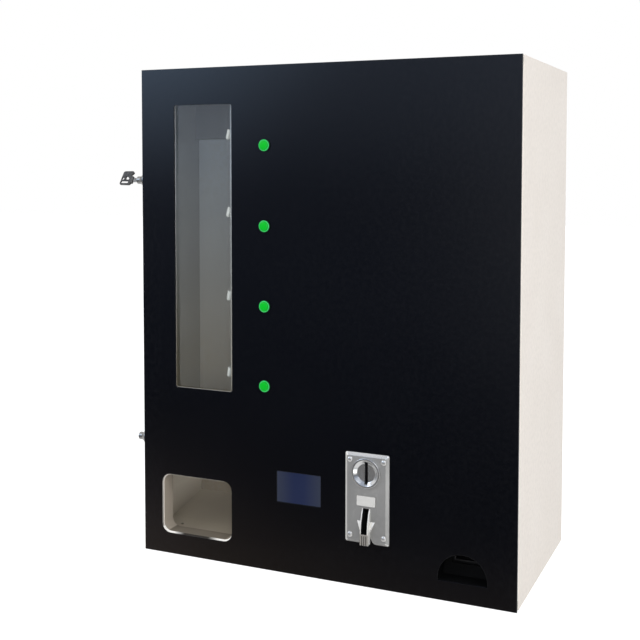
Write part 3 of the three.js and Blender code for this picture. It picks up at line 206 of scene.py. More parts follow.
def soft_lamp(name, place, power, size):
    data = bpy.data.lights.new(name, "AREA")
    data.energy = power
    data.size = size
    lamp = bpy.data.objects.new(name, data)
    lamp.location = place
    lamp.rotation_euler = (AIM - Vector(place)).to_track_quat("-Z", "Y").to_euler()
    bpy.context.scene.collection.objects.link(lamp)
    print(name, "gives", power, "watts from a square of", size, "metres")


soft_lamp("lamp_right", (1.9, -2.0, 2.3), 36, 1.8)
soft_lamp("lamp_left", (-2.0, -2.0, 1.9), 22, 1.8)
soft_lamp("lamp_front", (0.75, -2.3, 0.62), 10, 0.8)

# %% [markdown]
# The floor is pale and takes a soft shadow. A little light of its own, for the camera only,
# lifts it to the white of the background.
#
# The glossy front would mirror that white as a flat grey. Photographers hang a sheet behind
# the camera and let the black gloss mirror that instead.

# %% Floor
FLOOR_REACH = 9
FLOOR_UP = -0.0004
FLOOR_LIFT = 0.55


def flat_sheet(name, corners):
    mesh = bpy.data.meshes.new(name)
    mesh.from_pydata(corners, [], [tuple(range(len(corners)))])
    thing = bpy.data.objects.new(name, mesh)
    bpy.context.scene.collection.objects.link(thing)
    return thing


floor_signs = ((-1, -1), (1, -1), (1, 1), (-1, 1))
floor = flat_sheet("floor", [(FLOOR_REACH * a, FLOOR_REACH * b, FLOOR_UP) for a, b in floor_signs])
floor.visible_glossy = False
floor_paint = bpy.data.materials.new("pale floor")
tree = new_tree(floor_paint)
ray = tree.nodes.new("ShaderNodeLightPath")
seen = maths(tree, "MAXIMUM", ray.outputs["Is Camera Ray"], ray.outputs["Is Transmission Ray"])
surface = add(tree, "ShaderNodeBsdfDiffuse", {"Color": (0.86, 0.86, 0.86, 1)})
strength = maths(tree, "MULTIPLY", seen, FLOOR_LIFT)
glow = add(tree, "ShaderNodeEmission", {"Color": (1, 1, 1, 1), "Strength": strength})
both = add(tree, "ShaderNodeAddShader", {0: surface.outputs[0], 1: glow.outputs[0]})
add(tree, "ShaderNodeOutputMaterial", {"Surface": both.outputs[0]})
floor.data.materials.append(floor_paint)

# %% [markdown]
# The sheet is darkest in its middle. It has a cool window to the upper left, a cool band
# along its top and faint warm light below, and a bright patch far to the right that only the
# chrome of the coin unit shows. Nothing but reflections sees it.

# %% Mirrored sheet
SHEET_BACK = -2.2
SHEET_CORNERS = [(-6, -3), (5, -3), (5, 6.5), (-6, 6.5)]
SPOT_FALL = 1.6
BLACK = (0, 0, 0, 1)
sheet = flat_sheet("mirrored_sheet", [(a, SHEET_BACK, up) for a, up in SHEET_CORNERS])
for kind in ("camera", "diffuse", "transmission", "volume_scatter", "shadow"):
    setattr(sheet, "visible_" + kind, False)
sheet_light = bpy.data.materials.new("mirrored sheet")
tree = new_tree(sheet_light)
place = tree.nodes.new("ShaderNodeTexCoord").outputs["Object"]


def glow_spot(centre, reach, color):
    """A soft round patch of light on the sheet."""
    away = add(
        tree, "ShaderNodeVectorMath",
        {0: place, 1: (centre[0], SHEET_BACK, centre[1])}, operation="DISTANCE",
    ).outputs["Value"]
    amount = maths(tree, "SUBTRACT", 1.0, ramp(tree, away, 0.0, reach))
    amount = maths(tree, "POWER", amount, SPOT_FALL)
    return blend(tree, amount, BLACK, (*color, 1))


def glow_band(start, full, color):
    """Light that grows from one height to another."""
    height = add(tree, "ShaderNodeSeparateXYZ", {0: place}).outputs["Z"]
    return blend(tree, ramp(tree, height, start, full), BLACK, (*color, 1))


GLOWS = [
    glow_spot((-1.7, 1.6), 1.15, (2.3, 3.4, 4.9)),
    glow_spot((-1.6, 0.7), 0.7, (0.1, 0.11, 0.15)),
    glow_band(0.5, 1.0, (0.26, 0.32, 0.43)),
    glow_spot((0.25, 0.45), 1.0, (0.4, 0.41, 0.44)),
    glow_band(-0.7, -0.9, (0.13, 0.09, 0.05)),
    glow_spot((-1.45, -1.2), 1.0, (0.24, 0.17, 0.1)),
    glow_band(-1.05, -1.5, (0.4, 0.48, 0.56)),
    glow_spot((-1.7, -0.85), 0.5, (0.33, 0.28, 0.28)),
    glow_band(-0.5, 0.2, (0.04, 0.05, 0.08)),
    glow_spot((2.85, -1.1), 1.5, (4.5, 4.5, 4.4)),
]
total = GLOWS[0]
for glow in GLOWS[1:]:
    total = add(tree, "ShaderNodeVectorMath", {0: total, 1: glow}, operation="ADD").outputs[0]
light = add(tree, "ShaderNodeEmission", {"Color": total, "Strength": 1.0})
add(tree, "ShaderNodeOutputMaterial", {"Surface": light.outputs[0]})
sheet.data.materials.append(sheet_light)
print(sheet.name, "has", len(GLOWS), "lights")

# %% [markdown]
# ## Effects that several finishes share
# Painted, cast and moulded surfaces all have a fine grain, a slow change of tone and worn
# edges. Each effect is built once as a node group with its own sizes, and every material
# places it with its own values. The groups put out only heights, tones and masks.

# %% Grain and brushing


def effect(name, inputs, outputs):
    """A new shader node group with number inputs and outputs."""
    group = bpy.data.node_groups.new(name, "ShaderNodeTree")
    for label, value in inputs:
        socket = group.interface.new_socket(label, in_out="INPUT", socket_type="NodeSocketFloat")
        socket.default_value = value
    for label in outputs:
        group.interface.new_socket(label, in_out="OUTPUT", socket_type="NodeSocketFloat")
    given = group.nodes.new("NodeGroupInput").outputs
    result = group.nodes.new("NodeGroupOutput").inputs
    return group, given, result


def noise(group, scale, detail=2.0, vector=None, roughness=0.5):
    if vector is None:
        vector = group.nodes.new("ShaderNodeTexCoord").outputs["Object"]
    return add(
        group, "ShaderNodeTexNoise",
        {"Vector": vector, "Scale": scale, "Detail": detail, "Roughness": roughness},
    ).outputs["Fac"]


SLOW_SHARE = 0.012
grain, given, result = effect("fine grain", [("Scale", 900.0)], ["Height", "Tone"])
grain.links.new(noise(grain, given["Scale"], 3.0), result["Height"])
slow = noise(grain, maths(grain, "MULTIPLY", given["Scale"], SLOW_SHARE), 2.0)
grain.links.new(ramp(grain, slow, 0.3, 0.7), result["Tone"])

stretches = [("Along X", 60.0), ("Along Y", 1500.0), ("Along Z", 1500.0)]
brushing, given, result = effect("brushing", stretches, ["Height"])
spread = add(
    brushing, "ShaderNodeCombineXYZ",
    {"X": given["Along X"], "Y": given["Along Y"], "Z": given["Along Z"]},
).outputs[0]
stretched = add(
    brushing, "ShaderNodeVectorMath",
    {0: brushing.nodes.new("ShaderNodeTexCoord").outputs["Object"], 1: spread},
    operation="MULTIPLY",
).outputs[0]
brushing.links.new(noise(brushing, 1.0, 3.0, stretched), result["Height"])

# %% Smudges and wear
FINER = 9.0
smudges, given, result = effect("smudges", [("Scale", 14.0), ("Cover", 0.5)], ["Mask"])
broad = noise(smudges, given["Scale"], 3.0, None, 0.6)
broad = ramp(smudges, broad, given["Cover"], 0.85)
fine = noise(smudges, maths(smudges, "MULTIPLY", given["Scale"], FINER), 4.0, None, 0.7)
fine = ramp(smudges, fine, 0.3, 0.7)
smudges.links.new(maths(smudges, "MULTIPLY", broad, fine), result["Mask"])

wear, given, result = effect("worn edges", [("Amount", 0.5), ("Scale", 160.0)], ["Mask"])
sharp = wear.nodes.new("ShaderNodeNewGeometry").outputs["Pointiness"]
edge = ramp(wear, sharp, 0.52, 0.6)
broken = ramp(wear, noise(wear, given["Scale"], 4.0), 0.42, 0.62)
edge = maths(wear, "MULTIPLY", maths(wear, "MULTIPLY", edge, broken), given["Amount"])
wear.links.new(edge, result["Mask"])

print("Effects:", [group.name for group in bpy.data.node_groups])

# %% [markdown]
# A finish starts as a Principled BSDF. The helper gives it two tones mixed by the slow
# change of the grain, a roughness that follows it, a bump from the grain's height, and worn
# edges. Brushed metals have fine lines for a bump, and a drift takes a coat slowly to another
# tone along one axis. What differs from one finish to the next is only numbers: roughness is
# a lowest and a highest value, bump is a height in metres, worn is an amount and a tone,
# brushed is how fine the noise is along each axis, smudged is a scale, a cover and what it
# adds to the roughness, and drift is a tone, an axis and a centre, start and end in metres.

# %% A helper for finishes
WEAR_SCALE = 160.0
BRUSH_SHARE = 0.35
BRUSH_AXES = ("Along X", "Along Y", "Along Z")


def place_effect(tree, group, values):
    node = tree.nodes.new("ShaderNodeGroup")
    node.node_tree = group
    for name, value in values.items():
        node.inputs[name].default_value = value
    return node.outputs


# Some finishes below use the drift and the worn tone to paint light and shade.
def finish(
    name,
    tone,
    other,
    roughness=(0.4, 0.5),
    metallic=0.0,
    scale=900.0,
    bump=0.00004,
    worn=None,
    brushed=None,
    smudged=None,
    drift=None,
    **constants,
):
    material = bpy.data.materials.new(name)
    tree = new_tree(material)
    surface = tree.nodes.new("ShaderNodeBsdfPrincipled")
    grained = place_effect(tree, grain, {"Scale": scale})
    tone, other = tint(tone), tint(other)
    color = blend(tree, grained["Tone"], tone, other)
    if drift:
        other_tone, axis, centre, start, full = drift
        place = tree.nodes.new("ShaderNodeTexCoord").outputs["Object"]
        along = add(tree, "ShaderNodeSeparateXYZ", {0: place}).outputs[axis]
        away = maths(tree, "ABSOLUTE", maths(tree, "SUBTRACT", along, centre))
        color = blend(tree, ramp(tree, away, start, full), color, tint(other_tone))
    low, high = roughness
    rough = maths(tree, "MULTIPLY_ADD", grained["Tone"], high - low, low)
    height = grained["Height"]
    if brushed:
        height = place_effect(tree, brushing, dict(zip(BRUSH_AXES, brushed)))["Height"]
        shade = ramp(tree, height, 0.25, 0.75)
        color = blend(tree, maths(tree, "MULTIPLY", shade, BRUSH_SHARE), color, other)
    if smudged:
        mask_scale, cover, duller = smudged
        mask = place_effect(tree, smudges, {"Scale": mask_scale, "Cover": cover})["Mask"]
        rough = maths(tree, "MULTIPLY_ADD", mask, duller, low)
    if worn:
        amount, rubbed = worn
        mask = place_effect(tree, wear, {"Amount": amount, "Scale": WEAR_SCALE})["Mask"]
        color = blend(tree, mask, color, tint(rubbed))
    raised = add(tree, "ShaderNodeBump", {"Height": height, "Distance": bump, "Strength": 1.0})
    inputs = {label.replace("_", " "): value for label, value in constants.items()}
    inputs |= {"Base Color": color, "Roughness": rough, "Metallic": metallic}
    fill(tree, surface, {**inputs, "Normal": raised.outputs[0]})
    add(tree, "ShaderNodeOutputMaterial", {"Surface": surface.outputs[0]})
    return material


# %% [markdown]
# The cabinet is powder coated a warm off-white. The coat has a very fine orange-peel
# texture and a satin sheen. The sheets behind the window are a plain grey coat that turns
# darker and warmer towards the bottom as painted shade, and the cover above them is darker.

# %% Painted sheets
SHEET_GRAIN = {"scale": 1000, "bump": 0.00005}
PAINT = {}
PAINT["pale_paint"] = finish(
    "pale powder coat", (238, 230, 221), (236, 228, 219), (0.42, 0.5),
    scale=1100, bump=0.000025, worn=(0.35, (205, 198, 190)),
)
# The drift to a darker, warmer tone towards the bottom is painted shade.
PAINT["inner_sheet"] = finish(
    "grey inner coat", (173, 180, 190), (167, 174, 184), (0.38, 0.5),
    **SHEET_GRAIN, worn=(0.4, (165, 163, 160)), smudged=(9.0, 0.5, 0.12),
    drift=((158, 149, 134), "Z", 0.0, 0.6, 0.28),
)
PAINT["dark_sheet"] = finish(
    "dark inner coat", (120, 124, 133), (114, 118, 126), (0.4, 0.5),
    **SHEET_GRAIN,
)

# %% [markdown]
# Other coats show only in places: the inside of the cabinet's walls, the collar and the bin
# behind the mouth, the painted shade on the collar's floor, the lip below the mouth, which is
# pale at its two corners as painted highlight and dark between them as painted shade, and the
# cut edge of the front sheet, lightened as painted highlight. The collar's grey, the bin's
# paleness and the walls' darker bottom are painted light and shade too.

# %% Inner coats and edges
# The drift to a darker, warmer tone towards the bottom is painted shade.
WALL_COAT = finish(
    "grey wall coat", (168, 172, 179), (162, 166, 172), (0.42, 0.52),
    **SHEET_GRAIN, drift=((134, 126, 109), "Z", 0.0, 0.6, 0.28),
)
# The collar's warm grey is painted shade on the pale coat, and its pale worn edges are painted
# highlight.
COLLAR_COAT = finish(
    "warm grey collar coat", (172, 162, 149), (166, 156, 143), (0.4, 0.5),
    **SHEET_GRAIN, worn=(0.6, (222, 215, 205)),
)
# The bin is paler than the other coats as painted light, and darker towards the bottom as painted
# shade.
BIN_COAT = finish(
    "warm pale bin coat", (248, 241, 228), (242, 235, 222), (0.4, 0.5),
    **SHEET_GRAIN, drift=((166, 157, 142), "Z", 0.0, 0.075, 0.03),
)
# The collar's floor is darkened as painted shade.
SHADED_COAT = finish(
    "collar coat dulled by dust", (122, 114, 102), (116, 108, 96), (0.5, 0.6),
    **SHEET_GRAIN,
)
# The lip is dark between the mouth's corners as painted shade and pale at them as painted
# highlight.
LIP_COAT = finish(
    "pale coat worn at the mouth's corners", (62, 57, 50), (58, 53, 46), (0.3, 0.4),
    **SHEET_GRAIN, drift=((252, 250, 246), "X", -0.199, 0.021, 0.038),
)
# The cut edge is lightened as painted highlight.
CUT_EDGE_HIGHLIGHT = finish(
    "cut edge of the front sheet", (165, 163, 158), (150, 148, 143), (0.4, 0.5),
    scale=1400, bump=0.00003,
)

# %% [markdown]
# The door's front is a black sheet with a deep gloss. Gloss black shows hardly any colour of
# its own, so what makes it look real is what it mirrors. A very fine grain softens the
# mirrored light, and the smudges of hands make it duller in places.

# %% The black front
PAINT["black_front"] = finish(
    "black gloss sheet", (0.0022, 0.0026, 0.0042, 1), (0.0026, 0.003, 0.0046, 1), (0.16, 0.18),
    scale=700, bump=0.000006, smudged=(3.0, 0.5, 0.03), worn=(0.12, (50, 50, 52)),
)

# %% [markdown]
# The window is clear plastic and the display has a tinted cover. Light has to reach what is
# behind the pane, and a path tracer finds that hard through real refraction. So the pane is
# glass to the eye and lets shadow rays straight through.

# %% Clear and tinted plastic
MARKED_ROUGHNESS = 0.12
MARKED_SHARE = 0.93


def see_through(name, clean, roughness, shadow):
    material = bpy.data.materials.new(name)
    tree = new_tree(material)
    marks = place_effect(tree, smudges, {"Scale": 11.0, "Cover": 0.48})["Mask"]
    rough = maths(tree, "MULTIPLY_ADD", marks, MARKED_ROUGHNESS, roughness)
    color = blend(tree, marks, clean, (*(MARKED_SHARE * part for part in clean[:3]), 1))
    surface = add(
        tree, "ShaderNodeBsdfPrincipled",
        {"Base Color": color, "Roughness": rough, "IOR": 1.45, "Transmission Weight": 1.0},
    )
    clear = add(tree, "ShaderNodeBsdfTransparent", {"Color": shadow})
    ray = tree.nodes.new("ShaderNodeLightPath")
    direct = maths(tree, "MAXIMUM", ray.outputs["Is Shadow Ray"], ray.outputs["Is Diffuse Ray"])
    shaders = {1: surface.outputs[0], 2: clear.outputs[0]}
    mixed = add(tree, "ShaderNodeMixShader", {0: direct, **shaders})
    add(tree, "ShaderNodeOutputMaterial", {"Surface": mixed.outputs[0]})
    return material


PAINT["clear_pane"] = see_through("clear pane", (0.95, 0.97, 0.97, 1), 0.02, (0.93, 0.95, 0.95, 1))
PAINT["display_tint"] = finish(
    "tinted display cover", (28, 37, 66), (32, 41, 71), (0.22, 0.3),
    scale=600, bump=0.00001, smudged=(20.0, 0.45, 0.15),
    drift=((46, 52, 68), "X", -0.0285, 0.008, 0.034),
)

# %% [markdown]
# The buttons are bright green translucent plastic, a little lighter on the ring as painted
# highlight. A touch of light scattered under the surface keeps them from looking like paint.
# The other plastics are opaque: black and white mouldings, the change cup, which stays almost
# black inside, the rubbed bow of the key, the green front of the button housings and the
# return button.

# %% Plastics
# The cap's pale green worn edges are painted highlight.
PAINT["green_cap"] = finish(
    "green button plastic", (0, 178, 38), (0, 168, 34), (0.28, 0.36),
    scale=800, bump=0.00001, worn=(0.6, (90, 225, 130)), Subsurface_Weight=0.15,
    Subsurface_Scale=0.004, Specular_IOR_Level=0.15,
)
# The ring's lighter green is painted highlight.
PAINT["green_ring"] = finish(
    "green ring plastic", (52, 208, 104), (44, 198, 94), (0.3, 0.4),
    scale=800, bump=0.00001, worn=(0.5, (110, 230, 150)), Specular_IOR_Level=0.3,
)
PAINT["black_plastic"] = finish(
    "black moulded plastic", (22, 22, 24), (28, 28, 30), (0.34, 0.5),
    scale=1500, bump=0.00006, worn=(0.5, (64, 64, 66)),
)
CUP_BLACK = finish(
    "dull black cup", (7, 7, 8), (10, 10, 11), (0.6, 0.7),
    scale=1500, bump=0.00004, Specular_IOR_Level=0.12,
)
KEY_BLACK = finish(
    "rubbed black key plastic", (36, 36, 38), (50, 50, 52), (0.36, 0.5),
    scale=2500, bump=0.00008, worn=(0.6, (130, 130, 130)),
)
HOUSING_GREEN = finish(
    "dark green housing plastic", (8, 52, 24), (6, 44, 20), (0.4, 0.5),
    scale=1500, bump=0.00002, Specular_IOR_Level=0.2,
)
RETURN_WHITE = finish(
    "dull white button plastic", (200, 200, 198), (194, 193, 190), (0.36, 0.46),
    scale=1200, bump=0.00003,
)
PAINT["white_plastic"] = finish(
    "white moulded plastic", (222, 222, 219), (214, 213, 208), (0.34, 0.44),
    scale=1200, bump=0.00003,
)

# %% [markdown]
# The metals are the cast and brushed plate of the coin unit, its chrome bezel, the nickel of
# the locks, plain drawn or rolled steel, and the folded aluminium of the power supply.
# Brushing is a noise that is stretched along one direction, so it reads as fine lines. The
# circuit board and its relays come last.

# %% Metals
PAINT["cast_plate"] = finish(
    "brushed cast metal", (188, 188, 187), (150, 149, 147), (0.34, 0.46),
    metallic=0.6, bump=0.00003, brushed=(1400, 1400, 60), worn=(0.7, (215, 213, 210)),
)
PAINT["chrome_trim"] = finish(
    "worn chrome", (214, 214, 213), (200, 200, 200), (0.12, 0.2),
    metallic=0.8, scale=500, bump=0.000008, smudged=(110.0, 0.4, 0.3),
)
LOCK_NICKEL = finish(
    "worn nickel", (152, 151, 149), (132, 131, 129), (0.24, 0.34),
    metallic=0.8, bump=0.00001,
)
PAINT["plain_steel"] = finish(
    "bright steel", (196, 196, 194), (176, 175, 172), (0.26, 0.36),
    metallic=0.9, bump=0.00001, brushed=(900, 300, 300),
)
PAINT["supply_case"] = finish(
    "folded aluminium", (190, 191, 192), (174, 175, 176), (0.36, 0.46),
    metallic=0.85, bump=0.00002, brushed=(80, 1400, 1400),
)
PAINT["circuit_board"] = finish(
    "green circuit board", (22, 92, 58), (16, 74, 46), (0.3, 0.42),
    scale=2200, bump=0.00003,
)
RELAY_BLUE = finish("blue relay case", (24, 60, 150), (20, 52, 132), (0.3, 0.4), scale=1500)

# %% [markdown]
# The plate's rim is polished and, with its left edge and the wings beside the coin return,
# lightened as painted highlight. The nose is a little paler and less metallic than the plate,
# and the flutes of the nose are darkened as painted shade.

# %% Metal with painted highlight and shade
# Steel lightened as painted highlight, for the rim's top and bottom and the plate's domes.
PAINTED_HIGHLIGHT_STEEL = finish(
    "polished plate edge", (225, 224, 222), (212, 210, 207), (0.24, 0.34),
    metallic=0.85, bump=0.00001, brushed=(1400, 1400, 60),
)
# A pale edge as painted highlight, for the rim's left side and the wings.
PAINTED_HIGHLIGHT_EDGE = finish(
    "pale rubbed plate edge", (232, 230, 226), (220, 218, 213), (0.3, 0.4),
    metallic=0.2, bump=0.00001,
)
NOSE_STEEL = finish(
    "rubbed nose of the plate", (184, 179, 172), (170, 165, 158), (0.3, 0.4),
    metallic=0.5, bump=0.00001,
)
# The flutes are darkened as painted shade.
FLUTE_PAINTED_SHADE = finish(
    "steel in the flutes", (112, 108, 103), (98, 95, 91), (0.4, 0.5),
    metallic=0.5, bump=0.00002,
)
print("Finishes:", len(bpy.data.materials))

# %% [markdown]
# ## From CAD solid to finished piece
# A CAD node is a set of loose triangles with knife-sharp edges. Real edges are never that
# sharp: the thin line of light along a rounded edge is what tells the eye how thick and how
# hard a thing is. So each node is copied, its triangles are merged, its edges get a small
# bevel, and the copy takes the node's place.

# %% Copy, round and swap
MERGED_WITHIN = 0.000004
FLAT_WITHIN = math.radians(0.4)


def link(thing):
    bpy.context.scene.collection.objects.link(thing)
    return thing


def settle(thing):
    """Applies the modifiers and leaves a plain mesh."""
    shape = bpy.context.evaluated_depsgraph_get()
    made = bpy.data.meshes.new_from_object(thing.evaluated_get(shape), depsgraph=shape)
    thing.modifiers.clear()
    thing.data = made
    made.name = thing.name
    return thing


def piece_from(name, bm, material):
    mesh = bpy.data.meshes.new(name)
    bm.to_mesh(mesh)
    bm.free()
    for layer in ("custom_normal", "sharp_edge", "sharp_face"):
        if layer in mesh.attributes:
            mesh.attributes.remove(mesh.attributes[layer])
    mesh.materials.append(material)
    return link(bpy.data.objects.new(name, mesh))


def merged_copy(node, name, material):
    bm = bmesh.new()
    bm.from_mesh(NODES[node].data)
    bmesh.ops.remove_doubles(bm, verts=bm.verts, dist=MERGED_WITHIN)
    bmesh.ops.dissolve_degenerate(bm, edges=bm.edges, dist=MERGED_WITHIN)
    flat = {"angle_limit": FLAT_WITHIN, "delimit": set()}
    bmesh.ops.dissolve_limit(bm, verts=bm.verts, edges=bm.edges, **flat)
    return piece_from(name, bm, material)


# %% [markdown]
# The rounding is a bevel on every edge that is sharper than a given angle. Weighted normals
# keep the flat faces flat to the light. No corner may end outside the box of the solid, so
# the few that the bevel pushes out are moved back to it.

# %% Rounded edges
SHARPER_THAN = math.radians(32)
BEVEL_STEPS = 2


def rounded(thing, width):
    """Rounds every sharp edge by that many millimetres. With none, it only marks them."""
    corners = [vert.co for vert in thing.data.vertices]
    low = [min(corner[axis] for corner in corners) for axis in range(3)]
    high = [max(corner[axis] for corner in corners) for axis in range(3)]
    thing.data.polygons.foreach_set("use_smooth", [True] * len(thing.data.polygons))
    if width:
        bevel = thing.modifiers.new("round", "BEVEL")
        bevel.width = width * MM
        bevel.segments = BEVEL_STEPS
        bevel.limit_method = "ANGLE"
        bevel.angle_limit = SHARPER_THAN
        bevel.use_clamp_overlap = False
        flats = thing.modifiers.new("flats", "WEIGHTED_NORMAL")
        flats.weight = 100
    else:
        thing.data.set_sharp_from_angle(angle=SHARPER_THAN)
    settle(thing)
    for vert in thing.data.vertices:
        for axis in range(3):
            vert.co[axis] = min(max(vert.co[axis], low[axis]), high[axis])
    return thing


FINISHED = []


def swap(thing, *nodes, body=None, slot=None):
    """The finished piece stands for these nodes and moves with their body."""
    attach(thing, body or BODY_OF[nodes[0]])
    if nodes:
        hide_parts(*nodes)
    FINISHED.append(thing)
    return thing


# %% [markdown]
# Some nodes stand for several materials at once, such as a motor with its gearbox. The
# faces of one region, found by the place of their middles, get a second finish.

# %% A second finish on part of a piece
EVERYWHERE = (-math.inf, math.inf)


def within(place, across=EVERYWHERE, back=EVERYWHERE, up=EVERYWHERE):
    """Whether a place lies between the given millimetres in each direction."""
    return all(low < part < high for part, (low, high) in zip(where(place), (across, back, up)))


def refinish(thing, material, **ranges):
    slots = thing.data.materials
    if material.name not in slots:
        slots.append(material)
    faces = [face for face in thing.data.polygons if within(face.center, **ranges)]
    for face in faces:
        face.material_index = slots.find(material.name)
    print(thing.name, "has", len(faces), "faces more in", material.name)


# %% [markdown]
# Two tools serve many pieces. A lathe spins a profile round an axis, and gives a true circle
# at any size, where the CAD solid has flat sides. A cutter is a shape that a Boolean takes
# out of a piece, as a mill or a punch would.

# %% A lathe


def spin(bm, profile, centre, along, steps=64):
    """Spins (radius, place along the axis) pairs round an axis through the centre."""
    axis = Vector(along)
    side = axis.orthogonal().normalized()
    up = axis.cross(side)
    rings = []
    for radius, offset in profile:
        middle = centre + axis * offset * MM
        if radius == 0:
            rings.append([bm.verts.new(middle)])
            continue
        ring = []
        for i in range(steps):
            angle = 2 * math.pi * i / steps
            out = side * math.cos(angle) + up * math.sin(angle)
            ring.append(bm.verts.new(middle + out * radius * MM))
        rings.append(ring)
    for first, second in zip(rings, rings[1:]):
        for i in range(steps):
            j = (i + 1) % steps
            corners = [first[i % len(first)], first[j % len(first)]]
            corners += [second[j % len(second)], second[i % len(second)]]
            unique = list(dict.fromkeys(corners))
            if len(unique) > 2:
                bm.faces.new(unique)


def closed_up(bm):
    bmesh.ops.remove_doubles(bm, verts=bm.verts, dist=MERGED_WITHIN / 2)
    bmesh.ops.recalc_face_normals(bm, faces=bm.faces)


# %% Cutting


def cutter(low, high):
    """A box between two places, for a Boolean."""
    bm = bmesh.new()
    bmesh.ops.create_cube(bm, size=1)
    middle = (low + high) / 2
    reach = high - low
    for vert in bm.verts:
        vert.co = Vector(middle[i] + vert.co[i] * reach[i] for i in range(3))
    return bm


def carve(thing, bm):
    """Cuts the shape out of the piece, which gets its own finish on the cut too."""
    own = thing.data.materials[0]
    tool = piece_from("tool", bm, own)
    cut = thing.modifiers.new("cut", "BOOLEAN")
    cut.operation = "DIFFERENCE"
    cut.solver = "EXACT"
    cut.object = tool
    settle(thing)
    bpy.data.objects.remove(tool)
    thing.data.materials.clear()
    thing.data.materials.append(own)
    return thing


# %% [markdown]
# A face can only have one finish. Where a part of a flat face needs another, the face is
# first split along planes.

# %% Splitting


def split(thing, cuts, **ranges):
    """Splits the faces that lie between the given places along each of the planes."""
    bm = bmesh.new()
    bm.from_mesh(thing.data)
    for place, across in cuts:
        faces = [face for face in bm.faces if within(face.calc_center_median(), **ranges)]
        around = {edge for face in faces for edge in face.edges}
        around |= {vert for face in faces for vert in face.verts}
        bmesh.ops.bisect_plane(bm, geom=[*faces, *around], plane_co=place, plane_no=across)
    bm.to_mesh(thing.data)
    bm.free()


# %% [markdown]
# ## The sheet metal
# Folded sheets have a tight radius outside each fold. Cut edges are only broken. One table
# gives every sheet its own rounding in millimetres. The front of the door's pan is split
# round the ledge below the mouth, which is dark between its pale corners: painted shade
# between them and painted highlight on the corners.

# %% Sheets
LEDGE_LEFT, LEDGE_RIGHT = 29, 151
LEDGE_TOP = 37
PAN_FRONT = (3.25, 3.35)
SHEETS = {
    "cabinet_wrap": 0.8, "back_panel": 0.25, "back_liner": 0.4, "upper_cover": 0.4,
    "motor_plate": 0.4, "tray_post": 0.35,
    **{f"tray_{number}": 0.35 for number in range(1, 5)},
    "cash_box": 0.35, "fascia": 0.3, "door_pan": 0.3, "hinge_leaf_cabinet": 0.15,
    "hinge_leaf_door": 0.15, "hinge_pin": 0.15, "window_pane": 0.3,
}
PAN_CUTS = [
    (at(LEDGE_LEFT, 0, 0), (1, 0, 0)),
    (at(LEDGE_RIGHT, 0, 0), (1, 0, 0)),
    (at(0, 0, LEDGE_TOP), (0, 0, 1)),
]
SHEET_COAT = {"tray_post": PAINT["inner_sheet"]}
sheets = {}
for node, width in SHEETS.items():
    thing = merged_copy(node, node + "_sheet", SHEET_COAT.get(node) or PAINT[SLOT_OF[node]])
    if node == "door_pan":
        split(thing, PAN_CUTS, back=PAN_FRONT)
    sheets[node] = swap(rounded(thing, width), node)
print("Sheets:", {thing.name: len(thing.data.polygons) for thing in FINISHED})

# %% [markdown]
# The bin hangs on one screw through its floor. The hole for it shows from the front as a
# small dark spot in the mouth's lower left corner.

# %% Bin with its screw hole
HOLE_PLACE = at(31.8, 57.2, 26)
HOLE_RADIUS = 2.3
HOLE_DEPTH = 6
HOLE = [(0, -HOLE_DEPTH), (HOLE_RADIUS, -HOLE_DEPTH), (HOLE_RADIUS, HOLE_DEPTH), (0, HOLE_DEPTH)]
bm = bmesh.new()
spin(bm, HOLE, HOLE_PLACE, UPWARD, 24)
closed_up(bm)
pickup = carve(merged_copy("pickup_bin", "pickup_bin_sheet", BIN_COAT), bm)
sheets["pickup_bin"] = swap(rounded(pickup, 0.35), "pickup_bin")
print(pickup.name, len(pickup.data.polygons), "faces")

# %% [markdown]
# The cabinet is pale only outside. Its walls are grey within, darker and warmer towards the
# bottom as painted shade. The collar round the mouth is a warmer grey as painted shade, and the
# bin behind it is paler as painted light, because so little light reaches it, and darker
# towards its bottom as painted shade.

# %% Inner coats
COLLAR_ACROSS, COLLAR_UP = (28, 146), (28, 126)
WINDOW_ACROSS, WINDOW_UP = (46, 162), (246, 690)
LIP_UP = (20, 42)
CUT_BACK = (0.1, 2.9)
CUT_ACROSS = (0, 160)
wrap, pan, front = sheets["cabinet_wrap"], sheets["door_pan"], sheets["fascia"]
# The inner walls turn darker and warmer towards the bottom as painted shade.
refinish(wrap, WALL_COAT, across=(1, WIDTH - 1), back=(12, math.inf), up=(1, HEIGHT - 1))
# The collar is greyed as painted shade.
refinish(pan, COLLAR_COAT, across=COLLAR_ACROSS, up=COLLAR_UP)
refinish(pan, WALL_COAT, across=WINDOW_ACROSS, up=WINDOW_UP)
# Painted shade on the collar's floor.
refinish(pan, SHADED_COAT, across=(41, 134), back=(4.4, DEPTH), up=(28, LEDGE_TOP))
# The lip below the mouth: painted shade between its corners, painted highlight at them.
refinish(pan, LIP_COAT, across=(LEDGE_LEFT, LEDGE_RIGHT), back=(3.2, 4.4), up=(0, LIP_UP[1]))
# The front sheet's cut edge is lightened as painted highlight at the window's lower edge and the
# mouth's sides, and takes the lip's painted shade and highlight below the mouth.
for edge_up in ((246, 256), (LIP_UP[1], 132)):
    refinish(front, CUT_EDGE_HIGHLIGHT, across=CUT_ACROSS, back=CUT_BACK, up=edge_up)
refinish(front, LIP_COAT, across=CUT_ACROSS, back=CUT_BACK, up=LIP_UP)

# %% [markdown]
# ## Moulded, cast and turned parts
# These are closed bodies. The same copy and bevel serve, with a radius for each that suits
# its mould or casting. The pocket behind the return button is milled a little wider than the
# button, which slides in it.

